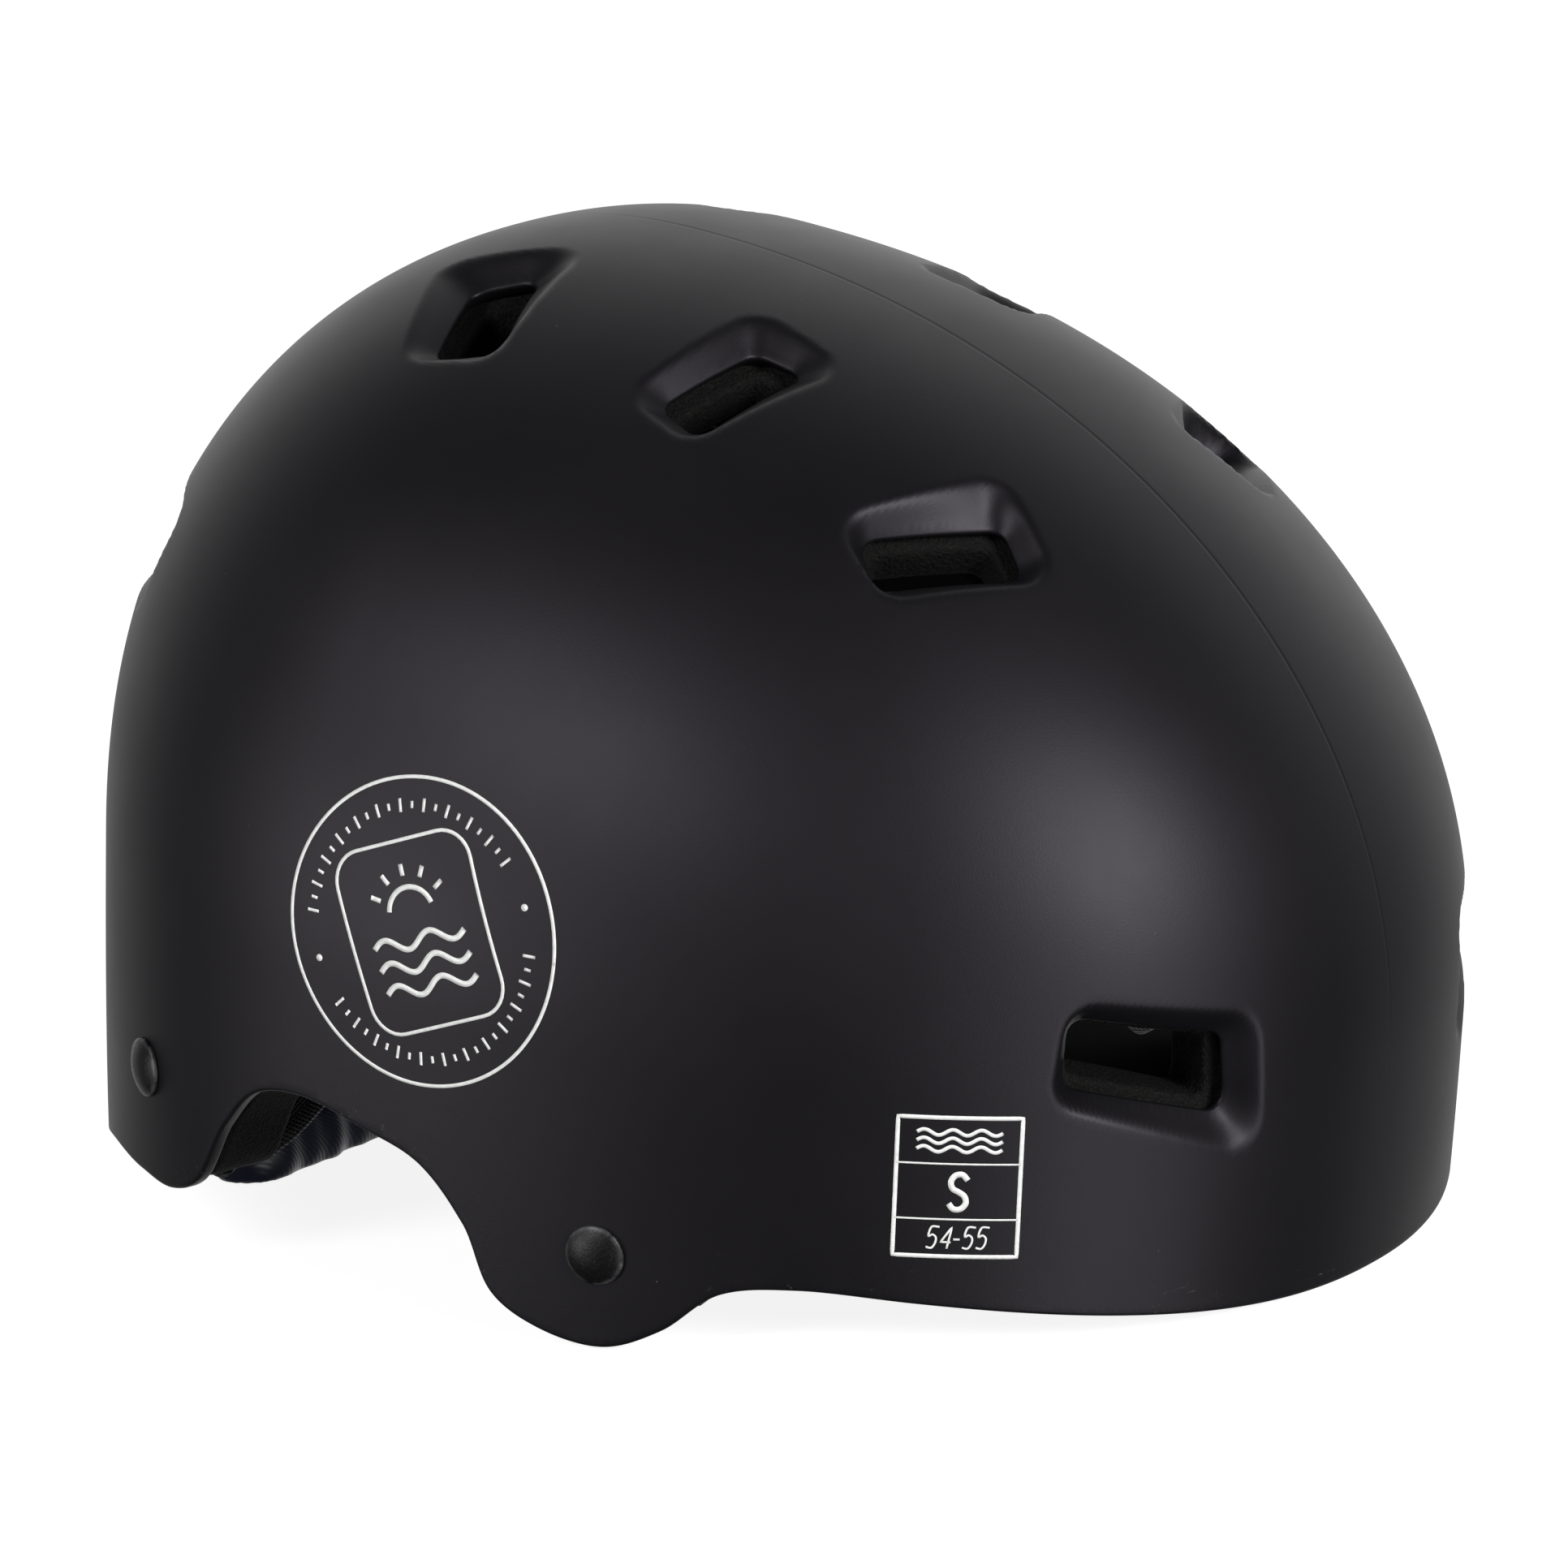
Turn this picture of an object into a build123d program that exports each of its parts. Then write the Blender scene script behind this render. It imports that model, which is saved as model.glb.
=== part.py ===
"""Water helmet: hard shell, foam liner, comfort pads and a riveted, stowed chin strap.

The helmet is drawn level, in millimetres: +X is the wearer's left, -Y the forehead, +Z up, with
z = 0 at the top of the ear cut-outs and y = 0 at the widest part. Each finished piece is then
tipped by REST_TILT and moved, so that the rim rests on z = 0 and the origin is under the middle.
"""

import math
import os

from build123d import *

# Shell outline
HALF_WIDTH = 107.4
FRONT_LENGTH = 152.5      # from the widest part to the brow
REAR_LENGTH = 98.0        # from the widest part to the nape
EQUATOR_Z = 23.0          # height of the widest level
CROWN_HEIGHT = 113.6      # from the equator to the crown
SKIRT_DEPTH = 292.0       # how slowly the wall pulls in below the equator
PLAN_POWER = 2.19         # roundness of the plan
CROWN_POWER = 2.155       # roundness of the dome, squarer at the rear
CROWN_POWER_REAR = 0.086
SKIRT_POWER = 2.45
FRONT_DROP = 0.045        # the dome sinks this much for each mm towards the brow
BROW_RIM_Z = -23.0

# Layers, measured in from the outside of the shell
SHELL_IN = 3.2
FOAM_OUT = 3.5
FOAM_IN = 18.0
FASTENER_OUT = 18.1
FASTENER_IN = 19.1
PAD_OUT = 19.3
CROWN_PAD_IN = 26.0
BROW_PAD_IN = 30.0
SIDE_PAD_IN = 25.5
NAPE_PAD_IN = 55.0
NAPE_PAD_FRONT_Y = 50.0   # the nape pad reaches this far forward between the straps
NAPE_PAD_SIDE_Y = 58.5    # and this far forward behind them
NAPE_PAD_HALF_X = 58.0
NAPE_PAD_TOP_Z = -9.0
PRINT_THICK = 0.12

# Resting position
REST_SLOPE = 0.1          # the rim plane falls this much for each mm towards the nape
REST_TILT = math.degrees(math.atan(REST_SLOPE))
REST_FRONT_Y = -150.0     # where the brow touches the rest plane
MIDDLE_Y = -26.65         # the tipped helmet's middle, front to back

# Strap hardware
RIVETS = {"front": (-58.6, -14.6), "rear": (44.3, -6.8)}    # y and z of each rivet
RIVET_HEAD_R = 5.3
RIVET_HEAD_H = 2.0
RIVET_SHAFT_R = 2.4
RIVET_BORE_R = 2.5
WASHER_R = 6.0
WASHER_T = 1.2
WEB_WIDTH = 20.0
WEB_T = 1.6
TAB_DEPTH = 4.2           # outer face of a strap tab, in from the shell's outside
TAB_TOP = 9.0             # tab above the rivet
FOLD_X = {"front": 82.5, "rear": 72.5}     # where the straps fold up inside the helmet
FOLD_Z = -24.0
FOLD_ROOM = 30.0          # length of the gap in the foam's rim at each fold
FOLD_HEADROOM = 2.6       # gap above the fold line, which clears the webbing's corners as it swings
STRAP_LEAN = 5.0          # degrees that the stowed straps lean inwards
DIVIDER_V = 50.0          # distance from the fold line to the divider
DIVIDER_SIZE = (40.0, 26.0, 7.0)
CHIN_LEAN = 27.0          # degrees that the stowed chin strap leans inwards
CHIN_LENGTH = 38.0
CLEAR = 0.3               # gap between separate pieces

# Side-release buckle
BUCKLE_W = 30.0
BUCKLE_T = 9.0
FEMALE_L = 26.0
PRONG_L = 17.0
PRONG_W = 4.0
MALE_L = 16.0
SLIDER_L = 10.0

# Graphics
BADGE_R = 27.0
BADGE_Y, BADGE_Z = -22.8, 36.0
LABEL_W, LABEL_H = 21.5, 25.5
LABEL_POINT = (-75.2, -114.4, 3.8)
LINE_W = 0.7

FAR = 400.0


def dome_value(x, y, z, inset):
    """1 on the shell's surface drawn in by inset, and less inside it."""
    length = (REAR_LENGTH if y > 0 else FRONT_LENGTH) - inset
    plan_x, plan_y = abs(x) / (HALF_WIDTH - inset), abs(y) / length
    plan = (plan_x**PLAN_POWER + plan_y**PLAN_POWER) ** (1 / PLAN_POWER)
    rise = z - FRONT_DROP * y - EQUATOR_Z
    if rise > 0:
        power = CROWN_POWER + CROWN_POWER_REAR * math.copysign(plan_y, y) / max(plan, 1e-9)
        height = CROWN_HEIGHT - inset
    else:
        power, height = SKIRT_POWER, SKIRT_DEPTH
    return (plan**power + abs(rise / height) ** power) ** (1 / power)


def dome_hit(start, direction, inset):
    """The point where a ray from inside the dome meets its surface."""
    low, high = 0.0, FAR
    for _ in range(36):
        mid = (low + high) / 2
        point = [s + mid * d for s, d in zip(start, direction)]
        low, high = (mid, high) if dome_value(*point, inset) < 1 else (low, mid)
    return Vector(*(s + low * d for s, d in zip(start, direction)))


def dome_normal(point, inset=0.0, step=0.05):
    """The outward unit normal of the dome at a point."""
    base = (point.X, point.Y, point.Z)
    grad = []
    for axis in range(3):
        ahead = [c + step * (i == axis) for i, c in enumerate(base)]
        behind = [c - step * (i == axis) for i, c in enumerate(base)]
        grad.append(dome_value(*ahead, inset) - dome_value(*behind, inset))
    return Vector(*grad).normalized()


# The dome's faces are drawn by rays from one low centre, so that none has a seam or a pole.
RAY_CENTRE = (0.0, (REAR_LENGTH - FRONT_LENGTH) / 2, -170.0)
RAY_SPREAD_X, RAY_SPREAD_Y = 1.1, 1.26
RAY_COUNT = 35


def dome_face(inset):
    """One smooth four-sided face over the whole dome, drawn in by inset."""
    steps = [2 * i / (RAY_COUNT - 1) - 1 for i in range(RAY_COUNT)]
    rows = [[dome_hit(RAY_CENTRE, (RAY_SPREAD_X * u, RAY_SPREAD_Y * v, 1.0), inset) for u in steps]
            for v in steps]
    return Face.make_surface_from_array_of_points(rows, tol=0.01)


FACES = {}


def layer(outer_inset, inner_inset):
    """The solid between two dome faces."""
    for inset in (outer_inset, inner_inset):
        if inset not in FACES:
            FACES[inset] = dome_face(inset)
    outer, inner = FACES[outer_inset], FACES[inner_inset]
    sides = []
    for edge in outer.edges():
        near = inner.edges().sort_by(lambda other: (other @ 0.5 - edge @ 0.5).length)[0]
        sides.append(Face.make_surface_from_curves(edge, near))
    solid = Solid(Shell([outer, inner, *sides]))
    return solid if solid.volume > 0 else Solid(Shell([-f for f in solid.faces()]))


def one(shape):
    """The largest solid of a result, with any sliver left out."""
    return max(shape.solids(), key=lambda s: s.volume)


def side_prism(rim, x_low=-FAR, x_high=FAR):
    """Everything above a rim line drawn in side view, between two values of x."""
    points = [(y, z) for y, z in rim]
    ends = (points[0], points[-1])
    with BuildSketch(Plane.YZ) as sketch:
        with BuildLine():
            Spline(*points)
            Polyline(ends[1], (ends[1][0], FAR), (ends[0][0], FAR), ends[0])
        make_face()
    return extrude(sketch.sketch, x_high) + extrude(sketch.sketch, x_low)


# The rim in side view, from nape to brow: rear lobe, ear cut-out, front lobe and brim.
RIM = [(104, -46), (90, -42), (76, -34), (62, -28.5), (47, -27.5), (36, -27), (28, -23), (20, -10),
       (12, -1.5), (2, 0.8), (-12, -1.8), (-24, -5.5), (-33, -14.5), (-39, -26), (-48, -30.6),
       (-60, -31.7), (-70, -27), (-80, -18.6), (-92, -16.2), (-110, -17), (-134, -19.7), (-160, -24)]


def raised(rim, by):
    """A rim line drawn back from the edge: higher everywhere, and a little wider in the cut-out."""
    return [(y, z + by) for y, z in rim]


# Vents on the wearer's right: the corners of each hole, and of the dished recess around it
VENTS = {
    "rear_top": ([(-34, 25, 128), (-28, 14.5, 131), (-50, 6.5, 123), (-54, 17.5, 120)],
                 [(-33, 32, 130), (-22, 10, 135), (-57, 2.5, 122), (-60, 19, 121)]),
    "mid_top": ([(-49.5, -29, 119), (-29, -34, 126), (-29, -44.5, 124), (-51.5, -38.5, 116)],
                [(-55, -25, 121), (-23, -30, 131), (-27, -53, 125), (-58, -41, 116)]),
    "front_top": ([(-50.5, -73, 104), (-31, -88, 105), (-35.5, -96, 99), (-55.5, -79.5, 98)],
                  [(-55, -69, 107), (-25.5, -84.5, 112), (-34, -102.5, 98), (-59, -84, 97)]),
    "brow": ([(-59.5, -125, 32.5), (-36.5, -141, 27.5), (-36, -142, 13.5), (-60.5, -125, 21)],
             [(-63, -127, 37), (-33, -146, 32), (-33, -147, 8), (-66, -125.5, 19)]),
    "rear": ([(-48, 80, 84), (-66, 66, 82), (-69, 69, 71), (-50, 83, 73)],
             [(-43, 80, 90), (-71, 59, 87), (-74, 65, 66), (-45, 87, 67)]),
}
VENT_CORNER_R = 2.6
VENT_DEPTH = 3.4          # the hole's edge lies this far below the dome
CUP_WALL = 2.4


def vent_plane(corners):
    """A plane on the shell at the middle of a vent, with z outwards and x along its first side."""
    middle = sum((Vector(*c) for c in corners), Vector()) * (1 / len(corners))
    origin = dome_hit(RAY_CENTRE, tuple(middle - Vector(*RAY_CENTRE)), 0.0)
    along = Vector(*corners[1]) - Vector(*corners[0])
    return Plane(origin=origin, x_dir=along, z_dir=dome_normal(origin))


def vent_outline(corners, plane, grow, height):
    """The rounded four-sided outline of a vent, grown outwards, at a height over its plane."""
    local = [plane.to_local_coords(Vector(*c)) for c in corners]
    outline = Polygon(*[(p.X, p.Y) for p in local], align=None)
    outline = fillet(outline.vertices(), VENT_CORNER_R)
    return Pos(0, 0, height) * (offset(outline, grow) if grow else outline)


def vent_hole(hole, grow=0.0):
    """The straight way through shell and foam."""
    plane = vent_plane(hole)
    sketch = vent_outline(hole, plane, grow, 0)
    return plane * (extrude(sketch, 12) + extrude(sketch, -45))


def vent_dish(hole, recess):
    """What the dish takes out of the dome."""
    plane = vent_plane(hole)
    return plane * loft([vent_outline(hole, plane, 0, -VENT_DEPTH), vent_outline(recess, plane, 0.6, 1.0)])


def vent_cup(hole, recess, grow=0.0):
    """The formed wall behind the dish, grown a little to cut its room in the foam."""
    plane = vent_plane(hole)
    wall = CUP_WALL + grow
    return plane * loft([vent_outline(hole, plane, wall, -VENT_DEPTH - SHELL_IN - grow),
                         vent_outline(recess, plane, wall - 1.5, -2.6)])


def both_sides(shape):
    return [shape, shape.mirror(Plane.YZ)]


def rivet_plane(name):
    """A plane on the right of the shell at a rivet, with z outwards and y up."""
    y, z = RIVETS[name]
    origin = dome_hit((0, y, z), (-1, 0, 0), 0.0)
    normal = dome_normal(origin)
    return Plane(origin=origin, x_dir=Vector(0, 0, 1).cross(normal), z_dir=normal)


def outer_shell():
    shell = layer(0.0, SHELL_IN) & side_prism(RIM)
    for hole, recess in VENTS.values():
        for cup in both_sides(vent_cup(hole, recess)):
            shell += cup
    for hole, recess in VENTS.values():
        for cutter in (vent_dish(hole, recess), vent_hole(hole)):
            for side in both_sides(cutter):
                shell -= side
    for name in RIVETS:
        bore = rivet_plane(name) * Cylinder(RIVET_BORE_R, 30)
        for side in both_sides(bore):
            shell -= side
    return one(shell)


def strap_notch(name):
    """The room in the foam for a strap tab, its rivet's washer and the fold under the foam."""
    plane = rivet_plane(name)
    y = RIVETS[name][0]
    width = WEB_WIDTH + 2
    top, low, depth = TAB_TOP + 1.5, 45, 8.2
    pocket = plane * Pos(0, (top - low) / 2, -depth / 2) * Box(width, top + low, depth)
    under = Pos(-85, y, FOLD_Z + FOLD_HEADROOM - 15) * Box(60, FOLD_ROOM, 30)
    return pocket + under


def foam_liner():
    foam = layer(FOAM_OUT, FOAM_IN) & side_prism(raised(RIM, 1.0))
    notches = [strap_notch(name) for name in RIVETS]
    notches += [strap_leg(sign, 1.2, 30) for sign in (1, -1)]
    for hole, recess in VENTS.values():
        notches += [vent_hole(hole, 0.5), vent_cup(hole, recess, 0.4)]
    for notch in notches:
        for side in both_sides(notch):
            foam -= side
    return one(foam)


def crown_pad():
    outline = Pos(0, -20, 60) * extrude(Ellipse(26, 58), 100)
    return one(layer(PAD_OUT, CROWN_PAD_IN) & outline)


def brow_pad():
    block = Pos(0, -112, -3.5) * Box(400, 90, 29)
    return one(layer(PAD_OUT, BROW_PAD_IN) & block)


def nape_pad():
    """A wedge that fills the nape from the foam to a straight front edge between the straps."""
    front, side, half = NAPE_PAD_FRONT_Y, NAPE_PAD_SIDE_Y, NAPE_PAD_HALF_X
    plan = make_face(Polyline((-half, front), (half, front), (half + 3, side), (100, side), (100, 130),
                              (-100, 130), (-100, side), (-half - 3, side), close=True))
    profile = make_face(Polyline((front, rest_z(front)), (130, rest_z(130)), (130, NAPE_PAD_TOP_Z),
                                 (front + 22, NAPE_PAD_TOP_Z), (front, rest_z(front) + 9), close=True))
    block = Pos(0, 0, -60) * extrude(plan, 80) & extrude(Plane.YZ * profile, 150, both=True)
    return one(layer(PAD_OUT, NAPE_PAD_IN) & block)


def side_pad():
    block = Pos(-100, -7, 21) * Box(60, 60, 26)
    return one(layer(PAD_OUT, SIDE_PAD_IN) & block)


def pad_fasteners():
    """Hook-and-loop dots between the foam and each pad."""
    disc = Cylinder(9, 60)
    dots = [Pos(0, y, 100) * disc for y in (-52, 12)]
    dots += [Pos(x, -130, -4) * Rot(X=90) * disc for x in (-30, 30)]
    dots += [Pos(x, 80, -26) * Rot(X=90) * disc for x in (-28, 28)]
    dots += [Pos(x, y, 21) * Rot(Y=90) * disc for x in (-95, 95) for y in (-24, 10)]
    gap = layer(FASTENER_OUT, FASTENER_IN)
    return Compound([one(gap & dot) for dot in dots])


def rest_z(y):
    """Height of the plane that the helmet rests on."""
    return BROW_RIM_Z - REST_SLOPE * (y - REST_FRONT_Y)


def rivet(name):
    dome_r = (RIVET_HEAD_R**2 + RIVET_HEAD_H**2) / (2 * RIVET_HEAD_H)
    ball = Pos(0, 0, RIVET_HEAD_H - dome_r) * Sphere(dome_r)
    head = ball & Pos(0, 0, 2.5) * Cylinder(RIVET_HEAD_R, 5)
    head = Pos(0, 0, 0.15) * head
    length = TAB_DEPTH + WEB_T + WASHER_T + 0.6
    shaft = Pos(0, 0, -length / 2 + 0.2) * Cylinder(RIVET_SHAFT_R, length)
    return rivet_plane(name) * (head + shaft)


def washer(name):
    depth = TAB_DEPTH + WEB_T + 0.1 + WASHER_T / 2
    ring = Cylinder(WASHER_R, WASHER_T) - Cylinder(RIVET_BORE_R, 5)
    return rivet_plane(name) * Pos(0, 0, -depth) * ring


def strap_tab(name):
    """Webbing from the rivet down inside the shell, and in under the foam to the fold line."""
    plane = rivet_plane(name)
    y = RIVETS[name][0]
    drop = (plane.origin.Z - FOLD_Z + WEB_T / 2) / plane.y_dir.Z
    middle = -TAB_DEPTH - WEB_T / 2
    down = Pos(0, (TAB_TOP - drop) / 2, middle) * Box(WEB_WIDTH, TAB_TOP + drop, WEB_T)
    down = plane * (down - Cylinder(RIVET_BORE_R + 0.2, 30))
    inner_x = FOLD_X[name] + 3.0
    reach = abs(plane.from_local_coords(Vector(0, -drop, middle)).X) + 8 - inner_x
    under = Pos(-inner_x - reach / 2, y, FOLD_Z) * Box(reach, WEB_WIDTH, WEB_T)
    return one((down + under) & layer(TAB_DEPTH - 0.6, 50.0))


def leaning_plane(origin, lean):
    """A plane through the fold line's direction, x towards the rear, y up the wall, z inwards."""
    along = Vector(FOLD_X["front"] - FOLD_X["rear"], RIVETS["rear"][0] - RIVETS["front"][0], 0)
    inwards = along.cross(Vector(0, 0, 1)).normalized()
    lean = math.radians(lean)
    return Plane(origin=origin, x_dir=along,
                 z_dir=inwards * math.cos(lean) - Vector(0, 0, 1) * math.sin(lean))


FOLD_MIDDLE = Vector(-(FOLD_X["front"] + FOLD_X["rear"]) / 2,
                     (RIVETS["front"][0] + RIVETS["rear"][0]) / 2, FOLD_Z)
STRAP_PLANE = leaning_plane(FOLD_MIDDLE, STRAP_LEAN)
STRAP_HALF_SPAN = (RIVETS["rear"][0] - RIVETS["front"][0]) / 2
CHIN_PLANE = leaning_plane(
    STRAP_PLANE.from_local_coords(Vector(0, DIVIDER_V + DIVIDER_SIZE[1] / 2 + 1, 0)), CHIN_LEAN)


def strap_leg(sign, grow=0.0, deep=0.0):
    """One leg of the V, from the fold line to the divider. The two legs lie one on the other
    where they meet. grow widens it, and deep carries it inwards, to cut room for it."""
    foot, top, v_top = STRAP_HALF_SPAN * sign, 7.0 * sign, DIVIDER_V + 3
    half = (WEB_WIDTH / 2 + grow) / math.cos(math.atan2(STRAP_HALF_SPAN - 7.0, v_top))
    band = make_face(Polyline((foot - half, 0.8 - grow), (foot + half, 0.8 - grow),
                              (top + half, v_top + grow), (top - half, v_top + grow), close=True))
    thick = WEB_T + grow + (deep or grow)
    low = -WEB_T / 2 - grow + sign * (WEB_T / 2 + 0.1)
    return STRAP_PLANE * Pos(0, 0, low) * extrude(band, thick)


def strap_divider():
    """The plate that joins the two legs and the chin strap, with a channel for each."""
    width, height, thick = DIVIDER_SIZE
    plate = extrude(RectangleRounded(width, height, 6), thick / 2, both=True)
    rims = plate.faces().filter_by(Axis.Z).edges()
    plate = fillet(rims, 1.2)
    plate -= Pos(0, height / 2, 0) * Box(WEB_WIDTH + 1, 8, WEB_T + 0.8)
    divider = STRAP_PLANE * Pos(0, DIVIDER_V, 0) * plate
    return one(divider - strap_leg(1, 0.3) - strap_leg(-1, 0.3))


def chin_strap():
    """Webbing from the divider to the buckle."""
    return CHIN_PLANE * Pos(0, CHIN_LENGTH / 2, 0) * Box(WEB_WIDTH, CHIN_LENGTH, WEB_T)


def buckle_female():
    """Socket half: an open sleeve with side windows for the prongs."""
    y = CHIN_LENGTH + FEMALE_L / 2 + CLEAR
    body = extrude(RectangleRounded(BUCKLE_W, FEMALE_L, 4), BUCKLE_T / 2, both=True)
    body = fillet(body.faces().filter_by(Axis.Z).edges(), 1.2)
    pocket = Pos(0, 3, 0) * Box(BUCKLE_W - 5, FEMALE_L, BUCKLE_T - 3.6)
    windows = Pos(0, 1, 0) * Box(BUCKLE_W + 10, 9, BUCKLE_T - 3.6)
    return CHIN_PLANE * Pos(0, y, 0) * (body - pocket - windows)


def buckle_male():
    """Plug half: a cross bar for the webbing, a centre tongue and the root of each prong."""
    y = CHIN_LENGTH + CLEAR
    bar = extrude(RectangleRounded(BUCKLE_W, MALE_L, 4), BUCKLE_T / 2 - 1, both=True)
    slot = Pos(0, -1, 0) * Box(WEB_WIDTH + 2, 4, 20)
    tongue = Pos(0, MALE_L / 2 + PRONG_L / 2, 0) * Box(5, PRONG_L, BUCKLE_T - 5)
    return CHIN_PLANE * Pos(0, y + MALE_L / 2, 0) * (bar - slot + tongue)


def buckle_prong(side):
    """One springy arm of the plug, with the bulge that is squeezed."""
    y = CHIN_LENGTH + CLEAR + MALE_L + 0.4
    x = BUCKLE_W / 2 - PRONG_W / 2 - 2.2
    arm = Pos(0, PRONG_L / 2, 0) * Box(PRONG_W, PRONG_L, BUCKLE_T - 5)
    bulge = Pos(PRONG_W / 2, PRONG_L - 5, 0) * Cylinder(3, BUCKLE_T - 5)
    shape = fillet((arm + bulge).edges().filter_by(Axis.Z).sort_by(Axis.Y)[-2:], 0.8)
    if side < 0:
        shape = shape.mirror(Plane.YZ)
    return CHIN_PLANE * Pos(side * x, y, 0) * shape


def strap_slider(v):
    """A slider around the chin webbing."""
    frame = extrude(RectangleRounded(WEB_WIDTH + 8, SLIDER_L, 3), 2.2, both=True)
    channel = Box(WEB_WIDTH + 1, 20, WEB_T + 0.8)
    return CHIN_PLANE * Pos(0, v, 0) * (frame - channel)


def chin_pad():
    """A soft sleeve around the chin webbing on the socket side."""
    sleeve = extrude(RectangleRounded(WEB_WIDTH + 7, 22, 4), 3.4, both=True)
    channel = Box(WEB_WIDTH + 1, 30, WEB_T + 0.8)
    return CHIN_PLANE * Pos(0, 19, 0) * (sleeve - channel)


def badge():
    """Printed ring and wave mark, a thin film on the shell."""
    film = layer(-PRINT_THICK, -0.02)
    origin = dome_hit((0, BADGE_Y, BADGE_Z), (-1, 0, 0), 0.0)
    plane = Plane(origin=origin, x_dir=(0, -1, 0), z_dir=dome_normal(origin))
    ring = Circle(BADGE_R) - Circle(BADGE_R - LINE_W)
    return Compound((film & plane * extrude(ring, 8, both=True)).solids())


def size_label():
    """Printed frame with two dividing lines."""
    film = layer(-PRINT_THICK, -0.02)
    origin = dome_hit(RAY_CENTRE, tuple(Vector(*LABEL_POINT) - Vector(*RAY_CENTRE)), 0.0)
    normal = dome_normal(origin)
    plane = Plane(origin=origin, x_dir=Vector(0, 0, 1).cross(normal), z_dir=normal)
    frame = Rectangle(LABEL_W, LABEL_H) - Rectangle(LABEL_W - 2 * LINE_W, LABEL_H - 2 * LINE_W)
    for v in (LABEL_H * 0.17, -LABEL_H * 0.22):
        frame += Pos(0, v) * Rectangle(LABEL_W, LINE_W)
    return Compound((film & plane * extrude(frame, 8, both=True)).solids())


def pieces():
    """Every node's name and shape, before the helmet is set down on its rim."""
    yield "outer_shell", outer_shell()
    yield "foam_liner", foam_liner()
    yield "crown_pad", crown_pad()
    yield "brow_pad", brow_pad()
    yield "nape_pad", nape_pad()
    for side, shape in zip(("right", "left"), both_sides(side_pad())):
        yield f"side_pad_{side}", shape
    yield "pad_fasteners", pad_fasteners()
    for name in RIVETS:
        for make in (rivet, washer, strap_tab):
            for side, shape in zip(("right", "left"), both_sides(make(name))):
                yield f"{make.__name__}_{name}_{side}", shape
    for name, sign in (("front", -1), ("rear", 1)):
        for side, shape in zip(("right", "left"), both_sides(strap_leg(sign))):
            yield f"strap_{name}_{side}", shape
    for side, shape in zip(("right", "left"), both_sides(strap_divider())):
        yield f"strap_divider_{side}", shape
    for side, shape in zip(("right", "left"), both_sides(chin_strap())):
        yield f"chin_strap_{side}", shape
    yield "chin_pad", chin_pad()
    yield "buckle_socket", buckle_female()
    yield "buckle_plug", buckle_male().mirror(Plane.YZ)
    yield "buckle_prong_front", buckle_prong(-1).mirror(Plane.YZ)
    yield "buckle_prong_rear", buckle_prong(1).mirror(Plane.YZ)
    yield "strap_adjuster", strap_slider(23).mirror(Plane.YZ)
    yield "strap_keeper", strap_slider(9).mirror(Plane.YZ)
    for side, shape in zip(("right", "left"), both_sides(badge())):
        yield f"badge_{side}", shape
    yield "size_label", size_label()


def main():
    os.makedirs("parts", exist_ok=True)
    tilt = math.radians(REST_TILT)
    lift = -(REST_FRONT_Y * math.sin(tilt) + BROW_RIM_Z * math.cos(tilt))
    set_down = Location((0, -MIDDLE_Y, lift)) * Location((0, 0, 0), (REST_TILT, 0, 0))
    for name, shape in pieces():
        export_step(shape.moved(set_down), f"parts/{name}.step")


main()
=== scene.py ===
"""Water helmet: the looks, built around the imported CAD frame.

Shapes are worked out in millimetres in the helmet's level frame (+X the wearer's left, -Y the
forehead, z = 0 at the top of the ear cut-outs) and set down on the rim by set_down().
"""

import math

import bpy
import numpy as np
from mathutils import Matrix, Vector


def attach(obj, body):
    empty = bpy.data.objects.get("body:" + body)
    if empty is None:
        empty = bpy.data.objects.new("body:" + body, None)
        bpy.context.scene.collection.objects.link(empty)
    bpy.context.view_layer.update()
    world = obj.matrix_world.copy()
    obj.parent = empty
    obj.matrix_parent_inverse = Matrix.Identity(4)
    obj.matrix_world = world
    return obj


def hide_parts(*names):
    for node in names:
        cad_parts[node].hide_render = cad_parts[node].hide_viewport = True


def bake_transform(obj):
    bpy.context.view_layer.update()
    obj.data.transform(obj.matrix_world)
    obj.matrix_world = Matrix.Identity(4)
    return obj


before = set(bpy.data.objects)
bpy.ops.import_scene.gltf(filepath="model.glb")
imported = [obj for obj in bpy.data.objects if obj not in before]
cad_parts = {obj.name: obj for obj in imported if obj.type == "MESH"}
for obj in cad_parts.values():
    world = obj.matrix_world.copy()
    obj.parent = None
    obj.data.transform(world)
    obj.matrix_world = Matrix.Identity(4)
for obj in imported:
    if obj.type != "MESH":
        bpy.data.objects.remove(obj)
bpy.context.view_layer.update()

# ---------------------------------------------------------------- driving dimensions, mm
HALF_WIDTH = 107.4
FRONT_LENGTH = 152.5
REAR_LENGTH = 98.0
EQUATOR_Z = 23.0
CROWN_HEIGHT = 113.6
SKIRT_DEPTH = 292.0
PLAN_POWER = 2.19
CROWN_POWER = 2.155
CROWN_POWER_REAR = 0.086
SKIRT_POWER = 2.45
FRONT_DROP = 0.045
BROW_RIM_Z = -23.0
REST_SLOPE = 0.1
REST_FRONT_Y = -150.0
MIDDLE_Y = -26.65
SHELL_T = 3.0
TILT = math.atan(REST_SLOPE)
LIFT = -(REST_FRONT_Y * math.sin(TILT) + BROW_RIM_Z * math.cos(TILT))
MM = 0.001

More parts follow.
